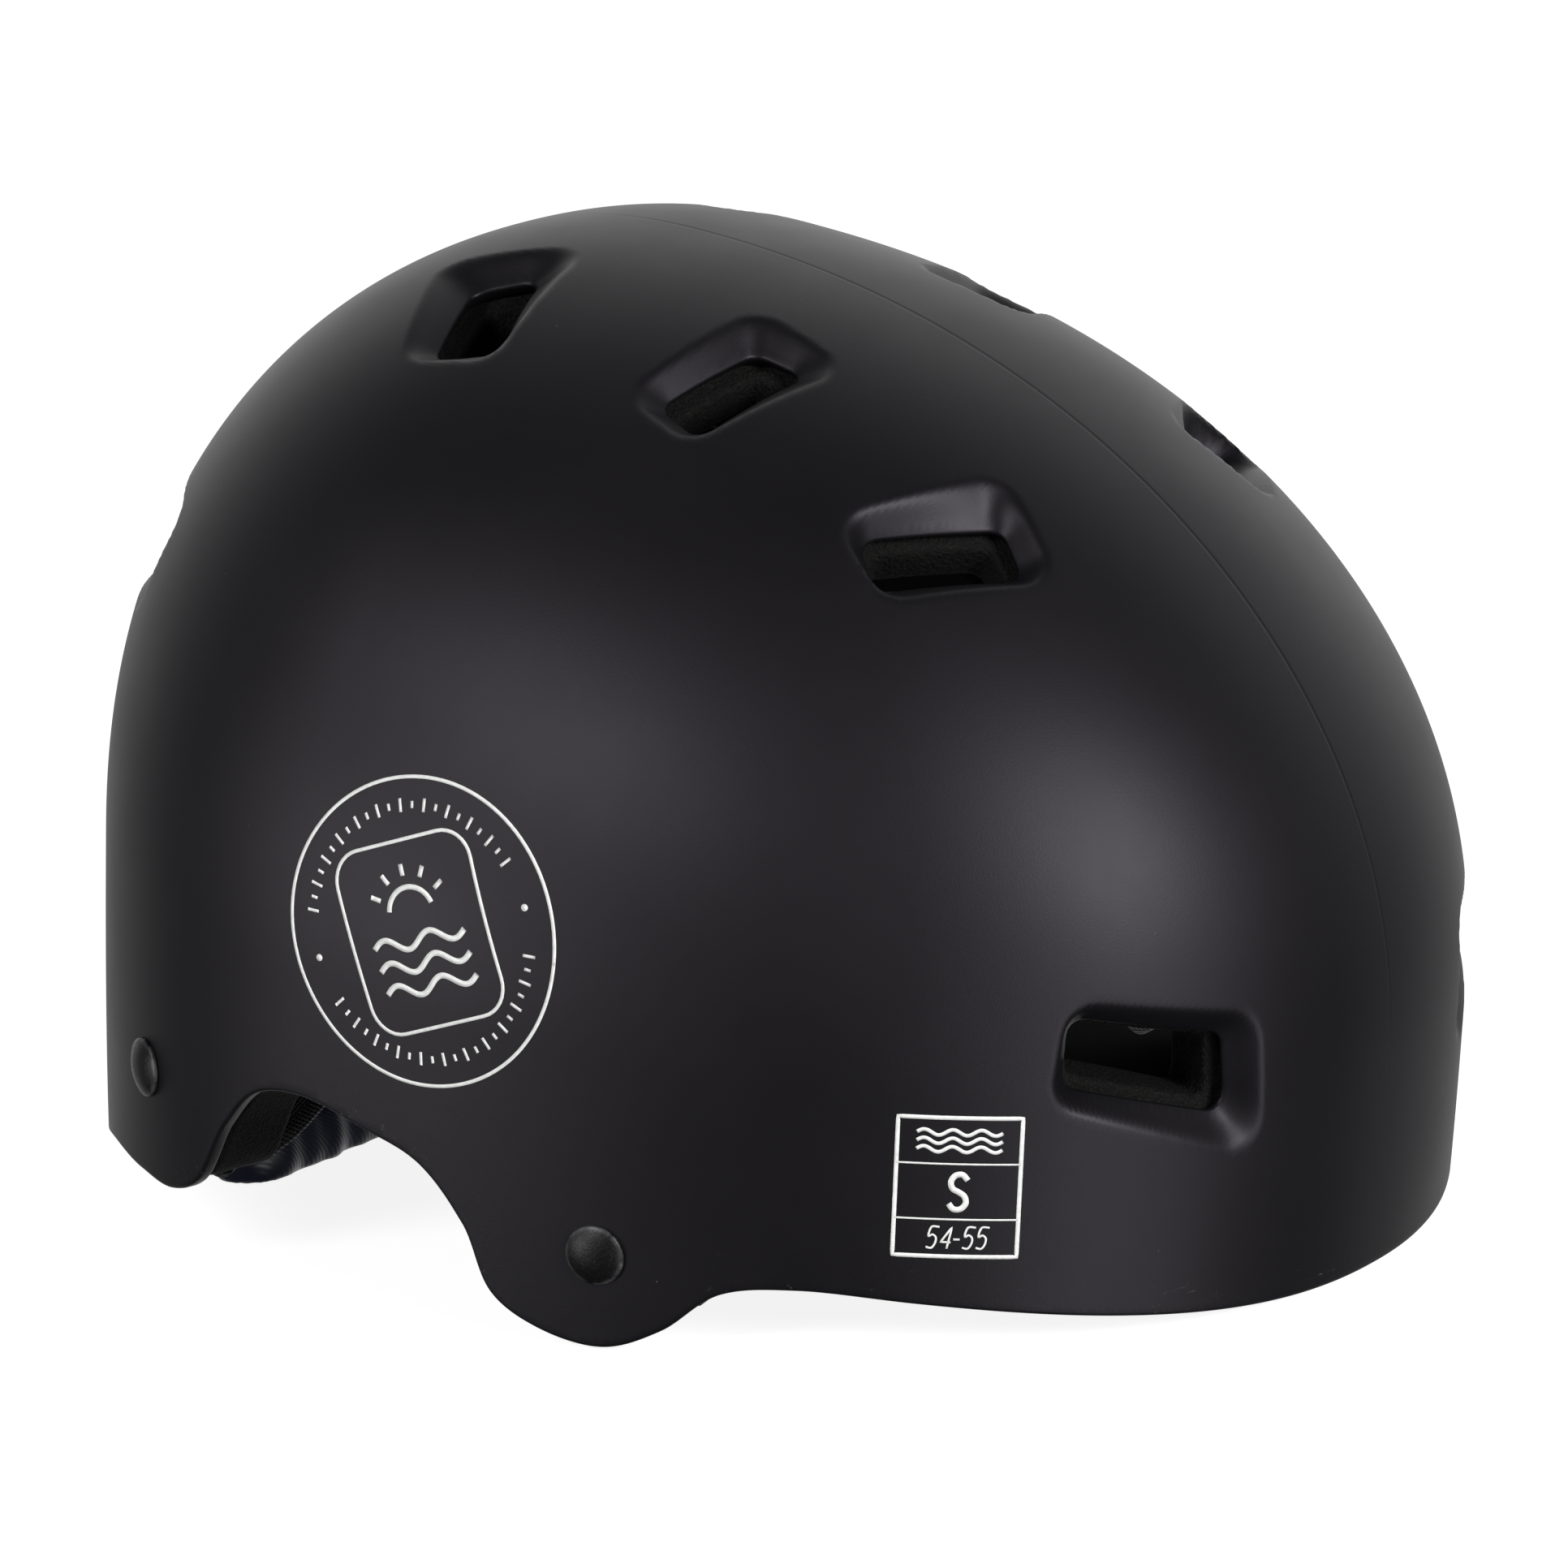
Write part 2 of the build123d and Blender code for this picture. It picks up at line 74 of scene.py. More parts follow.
# The rim in side view, from nape to brow: rear lobe, ear cut-out, front lobe and brim.
RIM = [(104, -46), (90, -42), (76, -34), (62, -28.5), (47, -27.5), (36, -27), (28, -23), (20, -10),
       (12, -1.5), (2, 0.8), (-12, -1.8), (-24, -5.5), (-33, -14.5), (-39, -26), (-48, -30.6),
       (-60, -31.7), (-70, -27), (-80, -18.6), (-92, -16.2), (-110, -17), (-134, -19.7), (-160, -24)]

# Vents on the wearer's right: the corners of each hole, and of the dish around it.
VENTS = {
    "rear_top": ([(-34, 25, 128), (-28, 14.5, 131), (-50, 6.5, 123), (-54, 17.5, 120)],
                 [(-31, 34, 130), (-20, 8, 135), (-57, 2, 122), (-60.5, 20, 121)], 4.4),
    "mid_top": ([(-49.5, -29, 119), (-29, -34, 126), (-29, -44.5, 124), (-51.5, -38.5, 116)],
                [(-55, -25, 121), (-23, -30, 131), (-27, -53, 125), (-58, -41, 116)], 4.4),
    "front_top": ([(-50.5, -73, 104), (-31, -88, 105), (-35.5, -96, 99), (-55.5, -79.5, 98)],
                  [(-55, -69, 107), (-25.5, -84.5, 112), (-34, -102.5, 98), (-59, -84, 97)], 4.8),
    "brow": ([(-59.5, -125, 32.5), (-36.5, -141, 27.5), (-36, -142, 13.5), (-60.5, -125, 21)],
             [(-63, -127, 37), (-33, -146, 32), (-32, -147.5, 5), (-66, -125.5, 19)], 4.8),
    "rear": ([(-48, 80, 84), (-66, 66, 82), (-69, 69, 71), (-50, 83, 73)],
             [(-43, 80, 90), (-71, 59, 87), (-74, 65, 66), (-45, 87, 67)], 4.4),
}
HOLE_CORNER_R = 2.6
DISH_CORNER_R = 6.0


# ---------------------------------------------------------------- the dome
def set_down(points):
    """Level frame in mm to the row frame in metres."""
    x, y, z = np.moveaxis(np.asarray(points, float), -1, 0)
    c, s = math.cos(TILT), math.sin(TILT)
    return np.stack([x, y * c - z * s - MIDDLE_Y, y * s + z * c + LIFT], -1) * MM


def dome_value(points, inset=0.0):
    """1 on the dome drawn in by inset, less inside it."""
    x, y, z = np.moveaxis(points, -1, 0)
    length = np.where(y > 0, REAR_LENGTH, FRONT_LENGTH) - inset
    plan_x, plan_y = np.abs(x) / (HALF_WIDTH - inset), np.abs(y) / length
    plan = (plan_x**PLAN_POWER + plan_y**PLAN_POWER) ** (1 / PLAN_POWER)
    rise = z - FRONT_DROP * y - EQUATOR_Z
    lean = np.sign(y) * plan_y / np.maximum(plan, 1e-9)
    power = np.where(rise > 0, CROWN_POWER + CROWN_POWER_REAR * lean, SKIRT_POWER)
    height = np.where(rise > 0, CROWN_HEIGHT - inset, SKIRT_DEPTH)
    return (plan**power + np.abs(rise / height) ** power) ** (1 / power)


def dome_hit(start, directions, inset=0.0):
    """Where rays from inside the dome meet it."""
    start, directions = np.broadcast_arrays(np.asarray(start, float), directions)
    low = np.zeros(directions.shape[:-1])
    high = np.full_like(low, 600.0)
    for _ in range(34):
        mid = (low + high) / 2
        inside = dome_value(start + mid[..., None] * directions, inset) < 1
        low, high = np.where(inside, mid, low), np.where(inside, high, mid)
    return start + low[..., None] * directions


def dome_normal(points, inset=0.0, step=0.05):
    """Outward unit normals of the dome."""
    grad = np.stack([dome_value(points + step * e, inset) - dome_value(points - step * e, inset)
                     for e in np.eye(3)], -1)
    return grad / np.linalg.norm(grad, axis=-1, keepdims=True)


def unit(v):
    v = np.asarray(v, float)
    return v / np.maximum(np.linalg.norm(v, axis=-1, keepdims=True), 1e-12)


def smooth_line(points, count):
    """A smooth curve through points (centripetal Catmull-Rom), as count samples."""
    p = np.asarray(points, float)
    p = np.vstack([2 * p[0] - p[1], p, 2 * p[-1] - p[-2]])
    out = []
    per = max(2, count // (len(points) - 1))
    for a, b, c, d in zip(p, p[1:], p[2:], p[3:]):
        t0 = 0.0
        t1 = t0 + np.linalg.norm(b - a) ** 0.5
        t2 = t1 + np.linalg.norm(c - b) ** 0.5
        t3 = t2 + np.linalg.norm(d - c) ** 0.5
        t = np.linspace(t1, t2, per, endpoint=False)[:, None]
        ab = (t1 - t) / (t1 - t0) * a + (t - t0) / (t1 - t0) * b
        bc = (t2 - t) / (t2 - t1) * b + (t - t1) / (t2 - t1) * c
        cd = (t3 - t) / (t3 - t2) * c + (t - t2) / (t3 - t2) * d
        left = (t2 - t) / (t2 - t0) * ab + (t - t0) / (t2 - t0) * bc
        right = (t3 - t) / (t3 - t1) * bc + (t - t1) / (t3 - t1) * cd
        out.append((t2 - t) / (t2 - t1) * left + (t - t1) / (t2 - t1) * right)
    return np.vstack(out + [p[-2:-1]])


RIM_LINE = smooth_line(RIM, 420)[::-1]


def above_rim(points, line=RIM_LINE):
    """Distance above the rim line in side view, along the line's own normal."""
    y, z = points[..., 1], points[..., 2]
    height = z - np.interp(y, line[:, 0], line[:, 1])
    slope = np.gradient(line[:, 1], line[:, 0])
    return height / np.sqrt(1 + np.interp(y, line[:, 0], slope) ** 2)


def vent_frame(hole):
    """Origin and axes of a vent: x along its first side, z outwards."""
    corners = np.array(hole, float)
    centre = (0.0, (REAR_LENGTH - FRONT_LENGTH) / 2, -170.0)
    origin = dome_hit(centre, corners.mean(0) - centre)
    z_dir = dome_normal(origin)
    x_dir = corners[1] - corners[0]
    x_dir = unit(x_dir - z_dir * (x_dir @ z_dir))
    return origin, np.array([x_dir, np.cross(z_dir, x_dir), z_dir])


def quad_distance(local, corners, radius):
    """Signed distance from a rounded four-sided outline: negative inside."""
    corners = np.asarray(corners)
    middle = corners.mean(0)
    nxt = np.roll(corners, -1, 0)
    edge = nxt - corners
    normal = np.stack([edge[:, 1], -edge[:, 0]], -1)
    normal = unit(normal)
    normal *= np.sign(((corners - middle) * normal).sum(-1))[:, None]
    shifted = corners - normal * radius
    to_line = np.stack([(local - s) @ n for s, n in zip(shifted, normal)], -1)
    ends = []
    count = len(corners)
    for i in range(count):
        a, b = normal[i - 1], normal[i]
        rhs = np.array([shifted[i - 1] @ a, shifted[i] @ b])
        ends.append(np.linalg.solve(np.array([a, b]), rhs))
    ends = np.array(ends)
    outside = np.full(local.shape[:-1], 1e9)
    for i in range(count):
        a, b = ends[i], ends[(i + 1) % count]
        along = np.clip(((local - a) @ (b - a)) / ((b - a) @ (b - a)), 0, 1)
        outside = np.minimum(outside, np.linalg.norm(local - a - along[..., None] * (b - a), axis=-1))
    inside = to_line.max(-1)
    return np.where(inside > 0, outside, inside) - radius


class Vent:
    """One vent with its hole and its dish, on the right (side -1) or the left (side 1)."""

    def __init__(self, name, side):
        hole, dish, self.depth = VENTS[name]
        mirror = np.array([-side, 1, 1])
        self.origin, self.axes = vent_frame(hole)
        self.hole = (np.array(hole) - self.origin) @ self.axes[:2].T
        self.dish = (np.array(dish) - self.origin) @ self.axes[:2].T
        self.mirror = mirror

    def local(self, points):
        return (points * self.mirror - self.origin) @ self.axes.T

    def near(self, points):
        return np.linalg.norm(points * self.mirror - self.origin, axis=-1) < 34

    def hole_distance(self, points):
        return quad_distance(self.local(points)[..., :2], self.hole, HOLE_CORNER_R)

    def drop(self, points):
        """How far the dish lowers the dome, as vectors."""
        flat = self.local(points)[..., :2]
        to_hole = np.maximum(quad_distance(flat, self.hole, HOLE_CORNER_R), 0)
        in_dish = np.maximum(-quad_distance(flat, self.dish, DISH_CORNER_R), 0)
        share = in_dish / np.maximum(in_dish + to_hole, 1e-6)
        share = 0.72 * share + 0.28 * share**2 * (3 - 2 * share)
        return -(self.depth * share)[..., None] * (self.axes[2] * self.mirror)


ALL_VENTS = [Vent(name, side) for name in VENTS for side in (-1, 1)]


# ---------------------------------------------------------------- the shell's mesh
RAY_CENTRE = np.array([0.0, (REAR_LENGTH - FRONT_LENGTH) / 2, -170.0])
SPREAD = (math.atan(1.1), math.atan(1.26))
EDGE_R = 0.75
SEAM_HALF = 0.0017        # half the parting line's width, in grid units
SEAM_DEPTH = 0.1


def shell_point(st):
    """Outer surface at grid places st, dishes included, and how far inside the outline it is."""
    ray = np.stack([np.tan(st[..., 0] * SPREAD[0]), np.tan(st[..., 1] * SPREAD[1]),
                    np.ones(st.shape[:-1])], -1)
    points = dome_hit(RAY_CENTRE, ray)
    keep = above_rim(points) - EDGE_R
    moved = points.copy()
    for vent in ALL_VENTS:
        close = vent.near(points)
        if close.any():
            moved[close] += vent.drop(points[close])
            hole = np.full(keep.shape, 1e9)
            hole[close] = vent.hole_distance(points[close]) - EDGE_R * 0.6
            keep = np.minimum(keep, hole)
    return moved, keep


def grid_values():
    """Even steps, with the parting line's three columns put in the middle."""
    s = np.linspace(-1, 1, 481)
    s = s[np.abs(s) > 0.0035]
    s = np.sort(np.concatenate([s, [-2 * SEAM_HALF, -SEAM_HALF, 0, SEAM_HALF, 2 * SEAM_HALF]]))
    return s, np.linspace(-1, 1, 541)


def clipped_grid(evaluate, s, t, snap=0.36, passes=2):
    """Quads of a grid kept where evaluate's second value is positive, trimmed to its zero line.
    Returns points, faces as lists, and the grid places of the points."""
    place = np.stack(np.meshgrid(s, t, indexing="ij"), -1)
    points, keep = evaluate(place)
    ds = np.gradient(s)[:, None]
    dt = np.gradient(t)[None, :]
    for _ in range(passes):
        gs, gt = np.gradient(np.clip(keep, -40, 40))
        size = np.maximum(np.hypot(gs, gt), 1e-6)
        close = np.abs(keep) < snap * size
        step = -keep / size**2
        shift = np.stack([step * gs * ds, step * gt * dt], -1)
        place = np.where(close[..., None], place + shift, place)
        points2, keep2 = evaluate(place[close])
        points[close], keep[close] = points2, np.where(np.abs(keep2) < 0.08, 0.0, keep2)
    inside = keep >= 0
    index = -np.ones(keep.shape, int)
    index[inside] = np.arange(inside.sum())
    out_points = list(points[inside])
    out_place = list(place[inside])
    faces = []
    crossing = {}

    def cut(a, b):
        key = (a, b) if a < b else (b, a)
        if key not in crossing:
            low, high = place[key[0]], place[key[1]]
            ka, kb = keep[key[0]], keep[key[1]]
            share = ka / (ka - kb)
            where = low + share * (high - low)
            for _ in range(4):
                p, k = evaluate(where[None])
                if abs(k[0]) < 0.01:
                    break
                ahead = evaluate((where + 1e-4 * (high - low))[None])[1][0]
                slope = (ahead - k[0]) / 1e-4
                if abs(slope) < 1e-9:
                    break
                share = np.clip(share - k[0] / slope, 0.02, 0.98)
                where = low + share * (high - low)
            crossing[key] = len(out_points)
            out_points.append(evaluate(where[None])[0][0])
            out_place.append(where)
        return crossing[key]

    quads_in = inside[:-1, :-1] & inside[1:, :-1] & inside[1:, 1:] & inside[:-1, 1:]
    i, j = np.nonzero(quads_in)
    faces += np.stack([index[i, j], index[i + 1, j], index[i + 1, j + 1], index[i, j + 1]], -1).tolist()
    some = inside[:-1, :-1] | inside[1:, :-1] | inside[1:, 1:] | inside[:-1, 1:]
    for i, j in zip(*np.nonzero(some & ~quads_in)):
        ring = [(i, j), (i + 1, j), (i + 1, j + 1), (i, j + 1)]
        polygon = []
        for a, b in zip(ring, ring[1:] + ring[:1]):
            if inside[a]:
                polygon.append(index[a])
            if inside[a] != inside[b] and keep[a] != 0 and keep[b] != 0:
                polygon.append(cut(a, b))
        if len(set(polygon)) >= 3:
            faces.append(polygon)
    return np.array(out_points), faces, np.array(out_place)


def face_normals_to_points(points, faces):
    """Area-weighted normals at points."""
    normals = np.zeros_like(points)
    for size in (3, 4, 5, 6):
        group = np.array([f for f in faces if len(f) == size])
        if not len(group):
            continue
        centre = points[group].mean(1)
        area = np.zeros_like(centre)
        for k in range(size):
            area += np.cross(points[group[:, k]] - centre, points[group[:, (k + 1) % size]] - centre)
        for k in range(size):
            np.add.at(normals, group[:, k], area)
    return unit(normals)


def thicken(points, faces, thickness, radius, steps=4, normals=None):
    """A closed shell: the outer points, an inner layer, and a rounded edge between the two.
    thickness is one number, or one for each point."""
    if normals is None:
        normals = face_normals_to_points(points, faces)
    count = len(points)
    thickness = np.broadcast_to(np.asarray(thickness, float), (count,))
    edges = {}
    for f in faces:
        for a, b in zip(f, f[1:] + f[:1]):
            edges[(a, b)] = edges.get((a, b), 0) + 1
    border = [(a, b) for a, b in edges if (b, a) not in edges]
    following = {a: b for a, b in border}
    before = {b: a for a, b in border}
    rim = [a for a in following if a in before]
    slot = {a: k for k, a in enumerate(rim)}
    here = points[rim]
    tangent = unit(points[[following[a] for a in rim]] - points[[before[a] for a in rim]])
    outward = unit(np.cross(tangent, normals[rim]))
    radius = np.minimum(radius, thickness[rim] / 2)[:, None]
    layers = []
    angles = [math.pi / 2 * k / steps for k in range(1, steps + 1)]
    for a in angles:
        layers.append(here + radius * (math.sin(a) * outward - (1 - math.cos(a)) * normals[rim]))
    inner_here = here - thickness[rim][:, None] * normals[rim]
    for a in reversed(angles):
        layers.append(inner_here + radius * (math.sin(a) * outward + (1 - math.cos(a)) * normals[rim]))
    inner = points - thickness[:, None] * normals
    stack = np.vstack([points, inner] + layers)
    width = len(rim)
    rows = [rim] + [[2 * count + n * width + k for k in range(width)] for n in range(len(layers))]
    rows.append([count + a for a in rim])
    out = [list(f) for f in faces]
    out += [[count + a for a in reversed(f)] for f in faces]
    for a in rim:
        b = following[a]
        if b not in slot:
            continue
        k, m = slot[a], slot[b]
        for upper, lower in zip(rows, rows[1:]):
            out.append([upper[m], upper[k], lower[k], lower[m]])
    return stack, out


def make_mesh(name, points_m, faces, smooth=True):
    mesh = bpy.data.meshes.new(name)
    mesh.from_pydata([tuple(p) for p in points_m], [], [tuple(int(i) for i in f) for f in faces])
    mesh.validate()
    mesh.update()
    if smooth:
        mesh.shade_smooth()
    obj = bpy.data.objects.new(name, mesh)
    bpy.context.scene.collection.objects.link(obj)
    return obj


def sharpen(obj, angle=40):
    """Smooth shading with edges kept where faces meet at more than the angle."""
    obj.data.set_sharp_from_angle(angle=math.radians(angle))


def mesh_attribute(obj, name, values):
    """Store one number a point for a material to read."""
    obj.data.attributes.new(name, "FLOAT", "POINT").data.foreach_set("value", np.asarray(values, np.float32))


def build_shell():
    s, t = grid_values()
    points, faces, place = clipped_grid(shell_point, s, t)
    seam = np.abs(place[:, 0]) < SEAM_HALF * 0.5
    front = np.clip((40 - points[:, 1]) / 40, 0, 1) * np.clip((points[:, 2] - 10) / 60, 0, 1)
    normals = face_normals_to_points(points, faces)
    points = points - normals * (seam * SEAM_DEPTH * front)[:, None]
    points, faces = thicken(points, faces, SHELL_T, EDGE_R)
    shell = make_mesh("shell", set_down(points), faces)
    sharpen(shell, 50)
    mesh_attribute(shell, "edge", np.exp(-np.clip(above_rim(points), 0, 60) / 5))
    return shell


# ---------------------------------------------------------------- the foam liner
FOAM_OUT = 3.5
FOAM_IN = 17.8
FOAM_EDGE_R = 1.5
RIVETS = {"front": (-58.6, -14.6), "rear": (44.3, -6.8)}
FOLD_X = {"front": 82.5, "rear": 72.5}
FOLD_Z = -24.0
TAB_HALF = 11.5           # half the room for a strap tab
TAB_PRESS = 4.2
VENT_PRESS = 4.6
VENT_PRESS_REACH = 9.0


def bump(value, centre, half, soft):
    """1 within half of the centre, falling to 0 over soft."""
    return np.clip(1 - (np.abs(value - centre) - half) / soft, 0, 1) ** 2


def foam_rim():
    """The shell's rim line, set back a little and raised over each fold of the straps."""
    line = RIM_LINE.copy()
    line[:, 1] += 1.2
    for y, _ in RIVETS.values():
        line[:, 1] += np.maximum(FOLD_Z + 2.6 - line[:, 1], 0) * bump(line[:, 0], y, TAB_HALF, 5)
    return line


FOAM_RIM = foam_rim()


def foam_point(st):
    """Outer face of the foam, pressed in at the tabs and vents, and how far inside the outline it is."""
    ray = np.stack([np.tan(st[..., 0] * SPREAD[0]), np.tan(st[..., 1] * SPREAD[1]),
                    np.ones(st.shape[:-1])], -1)
    points = dome_hit(RAY_CENTRE, ray, FOAM_OUT)
    press = np.zeros(points.shape[:-1])
    for y, z in RIVETS.values():
        below = np.clip((z + 14 - points[..., 2]) / 4, 0, 1)
        press = np.maximum(press, bump(points[..., 1], y, TAB_HALF, 4) * below)
    points = points - dome_normal(points, FOAM_OUT) * (TAB_PRESS * press)[..., None]
    keep = above_rim(points, FOAM_RIM) - FOAM_EDGE_R * 0.5
    for vent in ALL_VENTS:
        close = vent.near(points)
        if close.any():
            hole = np.full(keep.shape, 1e9)
            hole[close] = vent.hole_distance(points[close]) - 0.6
            keep = np.minimum(keep, hole)
            around = np.zeros(keep.shape)
            around[close] = np.clip(1 - vent.hole_distance(points[close]) / VENT_PRESS_REACH, 0, 1)
            points = points - dome_normal(points, FOAM_OUT) * (VENT_PRESS * around)[..., None]
    return points, keep


def build_foam():
    s, t = np.linspace(-1, 1, 201), np.linspace(-1, 1, 221)
    points, faces, _ = clipped_grid(foam_point, s, t)
    flat = dome_normal(points, FOAM_OUT)
    beside_front_tab = bump(points[:, 1], RIVETS["front"][0] - 2, 14, 12)
    depth = FOAM_IN - 7.0 * beside_front_tab * np.clip((26 - points[:, 2]) / 30, 0, 1)
    start = np.array([0.0, -20.0, -20.0])
    toward = points - flat * depth[:, None] - start
    value = dome_value(start + toward, FOAM_IN)
    grow = np.where(value > 0, 1 / value, 1)
    inner = start + toward * np.where(depth > FOAM_IN - 0.5, grow, 1.0)[:, None]
    thick = np.einsum("ij,ij->i", points - inner, flat)
    points, faces = thicken(points, faces, np.clip(thick, 4.0, 20), FOAM_EDGE_R, 4, flat)
    foam = make_mesh("foam", set_down(points), faces)
    sharpen(foam, 60)
    return foam


# ---------------------------------------------------------------- printed marks
PRINT_LIFT = 0.07
BADGE_R = 27.0
BADGE_Y, BADGE_Z = -22.8, 36.0
BADGE_TURN = 23.0
LABEL_W, LABEL_H = 21.5, 25.5
LABEL_POINT = (-75.2, -114.4, 3.8)
LINE_W = 0.62


def round_line(points, radius, steps=8):
    """A closed line whose corners are arcs."""
    p = np.asarray(points, float)
    n = len(p)
    out = []
    for i in range(n):
        a, b, c = p[i - 1], p[i], p[(i + 1) % n]
        u, v = unit(a - b), unit(c - b)
        half = math.acos(np.clip(u @ v, -1, 1)) / 2
        reach = radius / math.tan(half)
        mid = b + unit(u + v) * radius / math.sin(half)
        start, end = b + u * reach - mid, b + v * reach - mid
        a0, a1 = math.atan2(start[1], start[0]), math.atan2(end[1], end[0])
        turn = (a1 - a0 + math.pi) % (2 * math.pi) - math.pi
        for k in range(steps + 1):
            a = a0 + turn * k / steps
            out.append(mid + radius * np.array([math.cos(a), math.sin(a)]))
    out.append(out[0])
    return np.array(out)


def finer(line, step=0.7):
    """The same line with points at most a step apart."""
    out = [line[0]]
    for a, b in zip(line, line[1:]):
        count = max(1, int(np.linalg.norm(b - a) / step + 0.99))
        out += [a + (b - a) * k / count for k in range(1, count + 1)]
    return np.array(out)


class Print:
    """Ink on the dome, drawn in a flat plane at one point and laid down on the surface."""

    def __init__(self, origin, up, side):
        self.origin = np.asarray(origin, float)
        self.normal = dome_normal(self.origin)
        self.x_axis = unit(np.cross(up, self.normal))
        self.y_axis = np.cross(self.normal, self.x_axis)
        self.side = side
        self.points, self.faces = [], []

    def lay(self, flat, lift):
        flat = np.asarray(flat, float)
        start = self.origin + flat[:, :1] * self.x_axis + flat[:, 1:] * self.y_axis - self.normal * 30
        there = dome_hit(start, np.broadcast_to(self.normal, start.shape))
        return there + dome_normal(there) * lift

    def strip(self, left, right):
        count, first = len(left), sum(len(p) for p in self.points)
        self.points += [self.lay(left, -0.12), self.lay(left, PRINT_LIFT),
                        self.lay(right, PRINT_LIFT), self.lay(right, -0.12)]
        for k in range(count - 1):
            for row in range(3):
                a = first + row * count + k
                self.faces.append([a, a + 1, a + 1 + count, a + count])
        for k in (0, count - 1):
            self.faces.append([first + row * count + k for row in range(4)])

    def line(self, points, width=LINE_W, closed=False):
        points = finer(np.asarray(points, float))
        if closed and np.linalg.norm(points[0] - points[-1]) > 1e-6:
            points = finer(np.vstack([points, points[:1]]))
        run = np.gradient(points, axis=0)
        if closed:
            run[0] = run[-1] = points[1] - points[-2]
        normal = unit(np.stack([-run[:, 1], run[:, 0]], -1))
        self.strip(points + normal * width / 2, points - normal * width / 2)

    def dot(self, x, y, radius):
        a = np.linspace(0, math.pi, 13)
        self.strip(np.stack([x + radius * np.cos(a), y + radius * np.sin(a)], -1),
                   np.stack([x + radius * np.cos(a), y - radius * np.sin(a)], -1))

    def mesh(self, name):
        points = np.vstack(self.points) * np.array([-self.side, 1, 1])
        faces = self.faces if self.side < 0 else [f[::-1] for f in self.faces]
        return make_mesh(name, set_down(points), faces)


def wave(x0, x1, y, height, count):
    x = np.linspace(x0, x1, 60)
    return np.stack([x, y + height * np.sin(2 * math.pi * (count * (x - x0) / (x1 - x0)))], -1)


def spin(points, degrees):
    a = math.radians(degrees)
    return np.asarray(points) @ np.array([[math.cos(a), math.sin(a)], [-math.sin(a), math.cos(a)]])


def circle(radius, start=0, end=360, count=120):
    a = np.radians(np.linspace(start, end, count))
    return np.stack([radius * np.cos(a), radius * np.sin(a)], -1)


def build_badge(side):
    """A ring with evenly spaced dashes, and a tilted frame with a sun over three waves."""
    art = Print(dome_hit(np.array([0, BADGE_Y, BADGE_Z]), np.array([-1.0, 0, 0])), (0, 0, 1), side)
    art.line(circle(BADGE_R - LINE_W / 2), closed=True)
    half_w, half_h = 0.52 * BADGE_R, 0.60 * BADGE_R
    corners = [(-half_w, -half_h), (half_w, -half_h), (half_w, half_h), (-half_w, half_h)]
    frame_line = round_line(corners, 5.6)
    art.line(spin(frame_line, BADGE_TURN), closed=True)
    for y in (-9.0, -5.0, -1.0):
        art.line(spin(wave(-9.6, 9.6, y, 1.2, 2), BADGE_TURN), 1.0)
    sun = circle(4.6, 14, 166, 40) + np.array([0, 3.6])
    art.line(spin(sun, BADGE_TURN), 0.9)
    for angle in range(30, 151, 30):
        ray = np.vstack([circle(6.6, angle, angle, 1), circle(8.6, angle, angle, 1)]) + np.array([0, 3.6])
        art.line(spin(ray, BADGE_TURN), 0.8)
    for middle in (BADGE_TURN + 90, BADGE_TURN + 270):
        for k in range(-11, 12):
            angle = middle + 6.2 * k
            tall = 2.3 if k % 2 else 1.2
            art.line(np.stack([circle(22.0 - tall / 2, angle, angle, 1)[0],
                               circle(22.0 + tall / 2, angle, angle, 1)[0]]), 0.5)
    for angle in (BADGE_TURN, BADGE_TURN + 180):
        art.dot(*circle(22.0, angle, angle, 1)[0], 0.62)
    return art.mesh("badge_" + ("right" if side < 0 else "left"))


# Strokes of the size mark, in units of a figure's width and height
FIVE = [(0.92, 1.0), (0.18, 1.0), (0.10, 0.56), (0.42, 0.64), (0.80, 0.52), (0.88, 0.26), (0.62, 0.02),
        (0.08, 0.06)]
FOUR = [(0.74, 0.0), (0.74, 1.0), (0.0, 0.3), (0.98, 0.3)]
LETTER_S = [(0.9, 0.84), (0.62, 1.0), (0.3, 0.98), (0.1, 0.8), (0.2, 0.6), (0.5, 0.5), (0.8, 0.38),
            (0.9, 0.18), (0.68, 0.01), (0.34, 0.0), (0.08, 0.16)]


